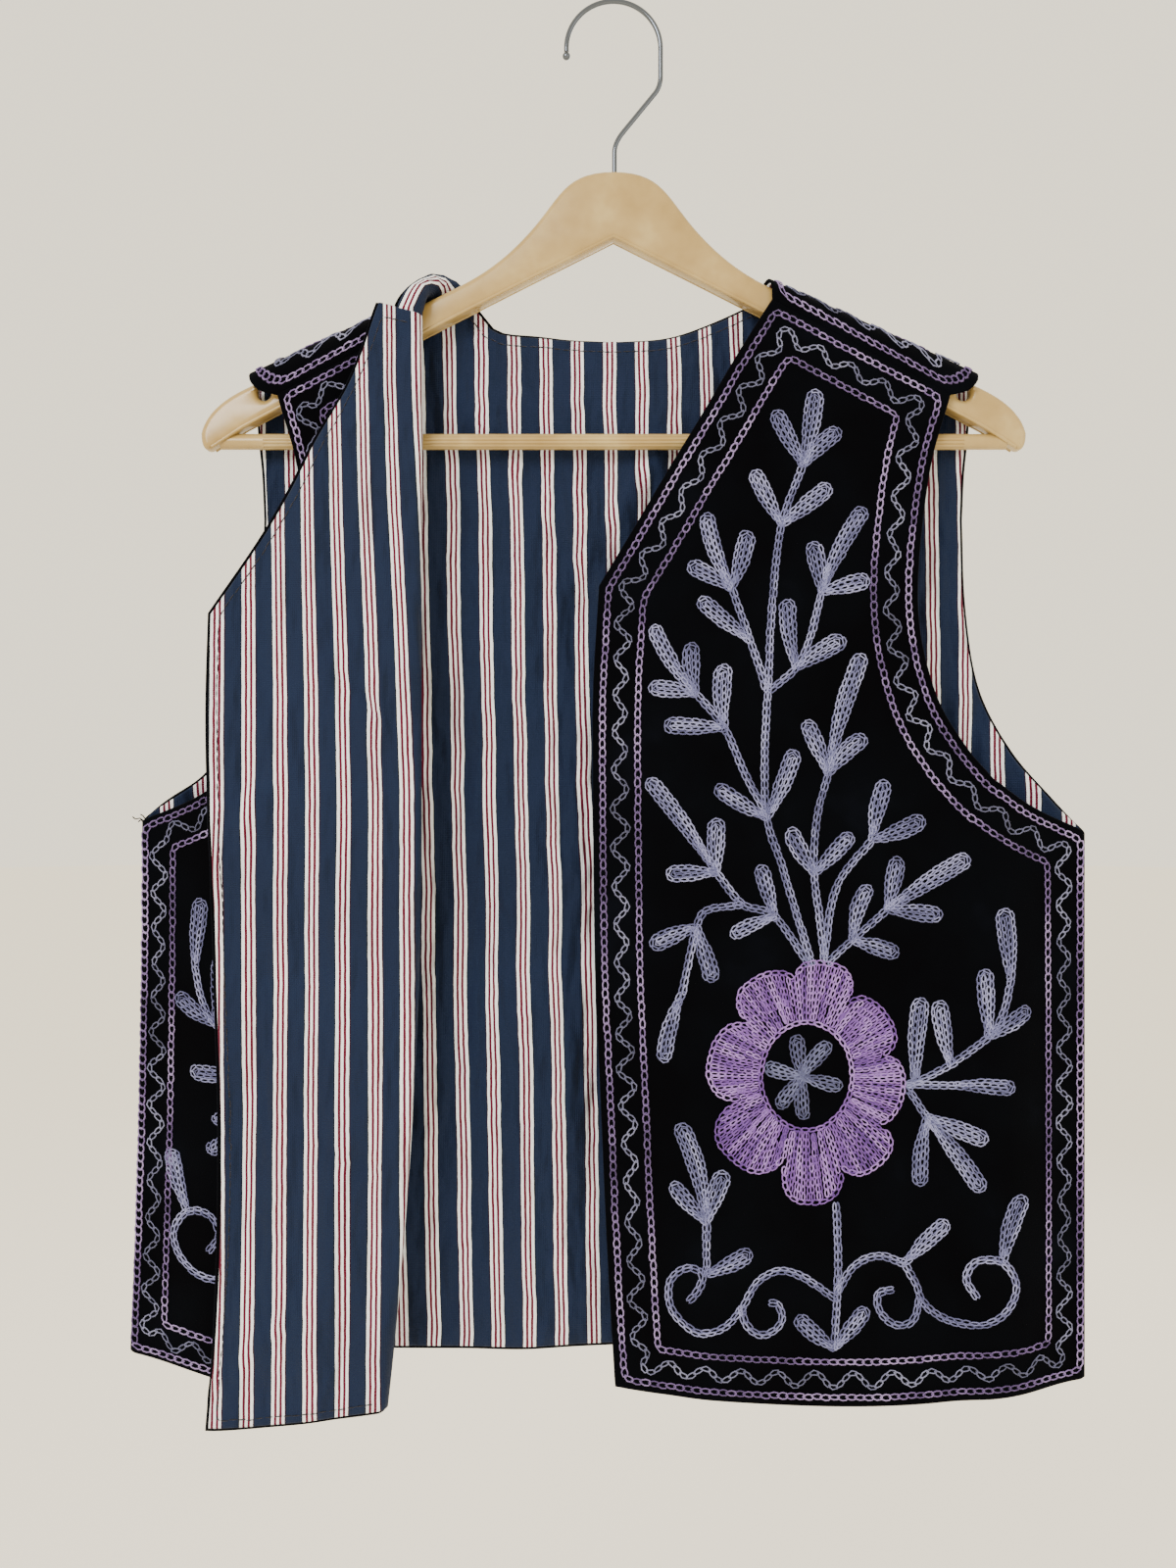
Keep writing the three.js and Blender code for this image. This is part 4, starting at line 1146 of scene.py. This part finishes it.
def flower_rows():
    rows = []
    for k, angle in enumerate(360 * (np.arange(RAYS) + 0.5) / RAYS):
        angle = angle + 0.3 * hand.standard_normal()
        inner, rim = hole_rim(angle), flower_rim(angle)
        start = lerp(inner, rim, 0.36) if k % 3 == 1 else inner + 0.6 + 1.8 * hand.random()
        if rim - 2.5 - start < 4:
            continue
        radius = np.linspace(start, rim - 2.5, 8)
        drift = 1.5 * np.sin(np.radians(3 * angle)) * np.linspace(0, 1, 8)
        rows.append(chain_row(around(angle + drift, radius), 1.4, 3.5, 0.7,
                              lift=0.1 * hand.random()))
    for first, last in zip(STARTS[:-1], STARTS[1:]):
        turn = np.linspace(first + 1.2, last - 1.2, 60)
        rows.append(chain_row(around(turn, flower_rim(turn) - 0.8), 1.9, 3.9, 0.75, lift=0.15))
    turn = np.linspace(0, 360, 720, endpoint=False)
    rows.append(chain_row(evenly(around(turn, hole_rim(turn) + 0.5), 1), 1.7, 3.8, closed=True,
                          lift=0.15))
    return rows


SMALL_FLOWER = (94, -544)
LOBES = [(21, -8), (22, 40), (21, 105), (22, 178), (20, 218), (20, 285)]


def plant_rows():
    rows = []
    for knots in STEMS:
        rows += stem_rows(knots)
    for foot, leaves in SPRIGS:
        for length, angle in leaves:
            rows += leaf_rows(np.array(foot, float), length, angle)
    return rows


def lobe_rows():
    rows = []
    for length, angle in LOBES:
        rows += leaf_rows(np.array(SMALL_FLOWER, float), length, angle, 2.7)
    return rows


sewn("left_front_plant", LEFT, plant_rows(), blue_floss)
sewn("left_front_flower", LEFT, flower_rows(), orchid_floss)
sewn("left_front_flower_middle", LEFT, lobe_rows(), muted_floss)


def mirrored(row):
    """The same branches for the other front, where they sit further out, the lower ones higher."""
    flat, height, tone = row
    low = smoothstep(-flat[..., 1:].mean(1, keepdims=True), 560, 620)
    return flat * np.array([-1, 1]) - lerp(12, 18, low) * [1, 0] + 14 * low * [0, 1], height, tone


right_plant = [seen_on("right_front", mirrored(row)) for row in plant_rows()]
sewn("right_front_plant", RIGHT, right_plant, blue_floss)

# %% [markdown]
# ## Hemming stitches
# The lining is sewn down by hand, in small dark stitches just inside its edge. They show
# where the lining shows: on the turned front, and along the back's neckline.

# %% Hemming stitches
STITCH_RINGS, STITCH_SIDES = 3, 4
rings, sides = np.meshgrid(np.arange(STITCH_RINGS), np.arange(STITCH_SIDES), indexing="ij")
i, j = rings[:-1].ravel(), sides[:-1].ravel()
next_j = (j + 1) % STITCH_SIDES
STITCH_QUADS = np.stack([i * STITCH_SIDES + j, (i + 1) * STITCH_SIDES + j,
                         (i + 1) * STITCH_SIDES + next_j, i * STITCH_SIDES + next_j], -1)
HEM_STITCHES_IN = 5.2


def hemming_row(line, long=3.9, pitch=4.4, thread=0.66):
    line, starts, _ = spaced(line, pitch, False)
    ring, around_it = rings.ravel(), 2 * np.pi * sides.ravel() / STITCH_SIDES
    radius = thread / 2 * np.array([0.5, 1, 0.5])[ring]
    along = starts + long * ring / 2 + 0.3 * hand.standard_normal(starts.shape)
    across = radius * np.cos(around_it) + 0.15 * hand.standard_normal(starts.shape)
    height = LINING_WALL[0] - np.array([0.0, 0.12, 0.0])[ring] + radius * np.sin(around_it)
    shade = np.broadcast_to(drifting(starts), along.shape)
    return beside(line, along, across, False), np.broadcast_to(height, along.shape), shade


def part_of(line, wanted):
    """The part of a closed line where a condition holds, in one run."""
    shown = wanted(*line.T)
    first = np.flatnonzero(shown & ~np.roll(shown, 1))[0]
    return np.roll(line, -first, 0)[np.roll(shown, -first)]


sewing_thread = floss("navy_sewing_thread", [(0.1, "#010205"), (0.5, "#04050A"), (0.9, "#0A0C14")])
turned_edge = part_of(inside(front_outline(right_cut), HEM_STITCHES_IN),
                      lambda x, z: x > fold_line(z) + FOLD_ARC + 2)
sewn("turned_front_hemming", RIGHT, [hemming_row(turned_edge)], sewing_thread, STITCH_QUADS)
neck_edge = part_of(inside(back_outline(back_cuts), HEM_STITCHES_IN),
                    lambda x, z: (np.abs(x) < 76) & (z > -300))
sewn("back_neck_hemming", BACK, [hemming_row(neck_edge)], sewing_thread, STITCH_QUADS)

# %% [markdown]
# ## Hanger
# A moulded hanger of glossy cream plastic. Its outline is one flat plate with rounded
# edges, so it is a filled curve with a bevel. A raised lip follows the underside of both
# arms. The arms end in leaf-shaped tips, which hold the trouser bar from above.

# %% Hanger plate
HANGER_THICK, PLATE_ROUNDING, LIP = 11, 3.0, 1.0
PEAK_Z, ARCH_Z, HALF_SPAN = -87, -121, 209.5
ARM_END, TIP_LOW = (188, -217.5), (204.5, -228)


def bezier(a, b, c, d, count=14):
    t = np.linspace(0, 1, count)[:, None]
    a, b, c, d = (np.array(p, float) for p in (a, b, c, d))
    return (1 - t) ** 3 * a + 3 * t * (1 - t) ** 2 * b + 3 * t ** 2 * (1 - t) * c + t ** 3 * d


def underside_z(x):
    return ARCH_Z - 0.497 * np.abs(x) - 0.00008 * x * x


NOTCH, NOTCH_RADIUS = (177.5, -200), 3.4  # the strap notch in the top of each arm
notch_turn = np.linspace(np.pi, 2 * np.pi, 12)
arm = np.vstack([
    bezier((0, PEAK_Z), (24, PEAK_Z), (27, -99), (40, -114.5)),
    bezier((40, -114.5), (54, -131), (66, -139), (80, -146))[1:],
    [(174.1, -192.6)],
    np.add(NOTCH, NOTCH_RADIUS * np.stack([np.cos(notch_turn), np.sin(notch_turn)], -1)),
    bezier((181, -194.5), (193, -199.5), (206.5, -207), (HALF_SPAN, -220), 18),
    bezier((HALF_SPAN, -220), (HALF_SPAN, -226), (208, -229), TIP_LOW, 8)[1:],
    [ARM_END] + [(x, underside_z(x)) for x in (160, 120, 80, 40, 0)]])


def tube_or_plate(name, lines, closed, bevel, material, slot, nodes, smooth=50, **settings):
    """A curve with one spline for each line of points in mm, made into a mesh piece."""
    data = bpy.data.curves.new(name, "CURVE")
    data.bevel_depth, data.bevel_resolution = bevel * MM, 3
    for setting, value in settings.items():
        setattr(data, setting, value)
    for line in lines:
        spline = data.splines.new("POLY")
        spline.points.add(len(line) - 1)
        spline.points.foreach_set("co", np.column_stack([line * MM, np.ones(len(line))]).ravel())
        spline.use_cyclic_u = closed
    piece = bpy.data.objects.new(name, data)
    bpy.context.scene.collection.objects.link(piece)
    return finished(piece, material, nodes, smooth)


def finished(piece, material, nodes, smooth=50):
    """Makes a piece a clean mesh in its place, with its material and its nodes."""
    bpy.ops.object.select_all(action="DESELECT")
    piece.select_set(True)
    bpy.context.view_layer.objects.active = piece
    if piece.type == "CURVE":
        bpy.ops.object.convert(target="MESH")
    bpy.ops.object.transform_apply(location=True, rotation=True, scale=True)
    bpy.ops.object.mode_set(mode="EDIT")
    bpy.ops.mesh.select_all(action="SELECT")
    bpy.ops.mesh.remove_doubles(threshold=0.02 * MM)
    bpy.ops.mesh.normals_make_consistent(inside=False)
    bpy.ops.object.mode_set(mode="OBJECT")
    bpy.ops.object.shade_smooth_by_angle(angle=np.radians(smooth))
    piece.data.materials.clear()
    piece.data.materials.append(material)
    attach(piece, "root")
    if nodes:
        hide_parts(*nodes)
    print(piece.name, sum(len(f.vertices) - 2 for f in piece.data.polygons), "triangles")
    return piece


plastic, tree, shader = new_material("moulded_polystyrene", {
    "Roughness": 0.27, "Specular IOR Level": 0.55})
place_of = add_node(tree, "ShaderNodeTexCoord").outputs["Object"]
clouds = add_node(tree, "ShaderNodeTexNoise", {
    "Vector": place_of, "Scale": 1 / (26 * MM), "Detail": 3.0, "Roughness": 0.6})
resin = add_node(tree, "ShaderNodeValToRGB", {"Fac": clouds.outputs["Fac"]})
set_ramp(resin, [(0.3, "#9A7E47"), (0.55, "#A98E57"), (0.75, "#B9A16A")])
tree.links.new(resin.outputs["Color"], shader.inputs["Base Color"])
ripple = add_node(tree, "ShaderNodeBump", {
    "Height": clouds.outputs["Fac"], "Strength": 0.15, "Distance": 1.0 * MM})
tree.links.new(ripple.outputs["Normal"], shader.inputs["Normal"])

whole = np.vstack([arm, (arm * [-1, 1])[::-1][1:-1]])
plate = tube_or_plate(
    "hanger_plate", [np.column_stack([whole[:, 0], whole[:, 1], np.zeros(len(whole))])], True,
    PLATE_ROUNDING, plastic, "hanger_plastic", ["hanger_body"], dimensions="2D", fill_mode="BOTH",
    extrude=(HANGER_THICK / 2 - PLATE_ROUNDING) * MM, offset=-PLATE_ROUNDING * MM)
plate.rotation_euler = (np.pi / 2, 0, 0)
bpy.ops.object.transform_apply(location=False, rotation=True, scale=False)

arch_x = np.array([-204, -188, -160, -120, -80, -40, 0, 40, 80, 120, 160, 188, 204.0])
arch_z = np.where(np.abs(arch_x) > 200, TIP_LOW[1], np.where(
    np.abs(arch_x) == ARM_END[0], ARM_END[1], underside_z(arch_x))) + LIP
lips = [np.column_stack([arch_x, np.full(13, side * (HANGER_THICK / 2 - LIP)), arch_z])
        for side in (-1, 1)]
tube_or_plate("hanger_lips", lips, False, LIP, plastic, "hanger_plastic", [], 60,
              dimensions="3D", use_fill_caps=True)

# %% [markdown]
# The trouser bar is a round rod, ribbed lengthwise so that cloth doesn't slip on it, and
# smooth for the last stretch at both ends.

# %% Trouser bar
BAR_Z, BAR_RADIUS, RIBBED_TO, BAR_END = -223.5, 4.0, 178, 200
RIBS, RIB_DEPTH = 12, 0.5

for name, start, end, ribs in [("ribbed_bar", -RIBBED_TO, RIBBED_TO, RIBS),
                               ("left_bar_end", RIBBED_TO, BAR_END, 0),
                               ("right_bar_end", -BAR_END, -RIBBED_TO, 0)]:
    bpy.ops.object.select_all(action="DESELECT")
    bpy.ops.mesh.primitive_cylinder_add(
        vertices=96 if ribs else 32, radius=BAR_RADIUS * MM, depth=(end - start) * MM,
        location=((start + end) / 2 * MM, 0, BAR_Z * MM), rotation=(0, np.pi / 2, 0))
    bar = bpy.context.object
    bar.name = name
    for v in bar.data.vertices:
        angle = np.arctan2(v.co.y, v.co.x)
        v.co.xy *= 1 - RIB_DEPTH / BAR_RADIUS * (ribs > 0) * max(0, np.cos(ribs * angle)) ** 3
    finished(bar, plastic, ["trouser_bar"], 40)

# %% [markdown]
# The hook is one length of chromed steel wire, bent round a mandrel, with a small ball at
# its free end so that it can't scratch a rail.

# %% Hook
WIRE, CROOK_RADIUS = 2.6, 24
crook_z = WIRE / 2 - CROOK_RADIUS
turn = np.radians(np.linspace(184, 0, 48))
wire = np.vstack([
    np.stack([CROOK_RADIUS * np.cos(turn), crook_z + CROOK_RADIUS * np.sin(turn)], -1),
    bezier((24, -37), (24, -40.5), (23, -43.7), (21, -46), 10),
    bezier((5, -65.5), (2, -69.2), (0.5, -72.7), (0.5, -76), 10),
    [(0.5, PEAK_Z - 1)]])
# The base colour is far darker than real chrome: painted dark reflection, standing for a darker room than
# the pale one that the wire mirrors here.
chrome, _, _ = new_material("chromed_steel_painted_dark_reflection", {
    "Base Color": linear("#5E636B"), "Metallic": 1.0, "Roughness": 0.12})
tube_or_plate("hook_wire", [np.column_stack([wire[:, 0], 0 * wire[:, 0], wire[:, 1]])], False,
              WIRE / 2, chrome, "hook_chrome", ["hanger_hook"], dimensions="3D",
              use_fill_caps=True)
bpy.ops.object.select_all(action="DESELECT")
bpy.ops.mesh.primitive_uv_sphere_add(segments=24, ring_count=12, radius=2 * MM,
                                     location=(-CROOK_RADIUS * MM, 0, (crook_z - 4) * MM))
ball = bpy.context.object
ball.name = "hook_ball"
finished(ball, chrome, ["hook_tip"])

# %% [markdown]
# ## Loose ends
# A small tuft of thread stands out at the armpit of the turned side, where the seam has
# come undone a little.

# %% Loose thread
armpit = place(RIGHT, np.array([-SIDE_CUT + 0.6, ARMPIT_Z + 0.5]), np.array(0.4)) / MM
tuft = [np.array([(0, 0, 0), (-2, 0, 1.4), (-4.2, -0.6, 1.0), (-5.6, -0.8, 2.2)]),
        np.array([(0, 0, -1), (-1.6, 0.4, 0.6), (-3.1, 0.6, -0.4)]),
        np.array([(1, 0, 0.4), (-0.4, 0, 2.6), (-1.7, -0.4, 3.4)])]
tube_or_plate("loose_thread", [armpit + strand for strand in tuft], False, 0.3, velvet,
              "velvet", [], dimensions="3D", use_fill_caps=True)

# %% [markdown]
# ## Sizes
# The construction model's box and the visual model's box are printed side by side.
# The visual model may not outgrow the construction model.

# %% Sizes and finish
size = {"cad": [list(corner) for corner in cad_box], "visual": [list(c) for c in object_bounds()]}
print(size)
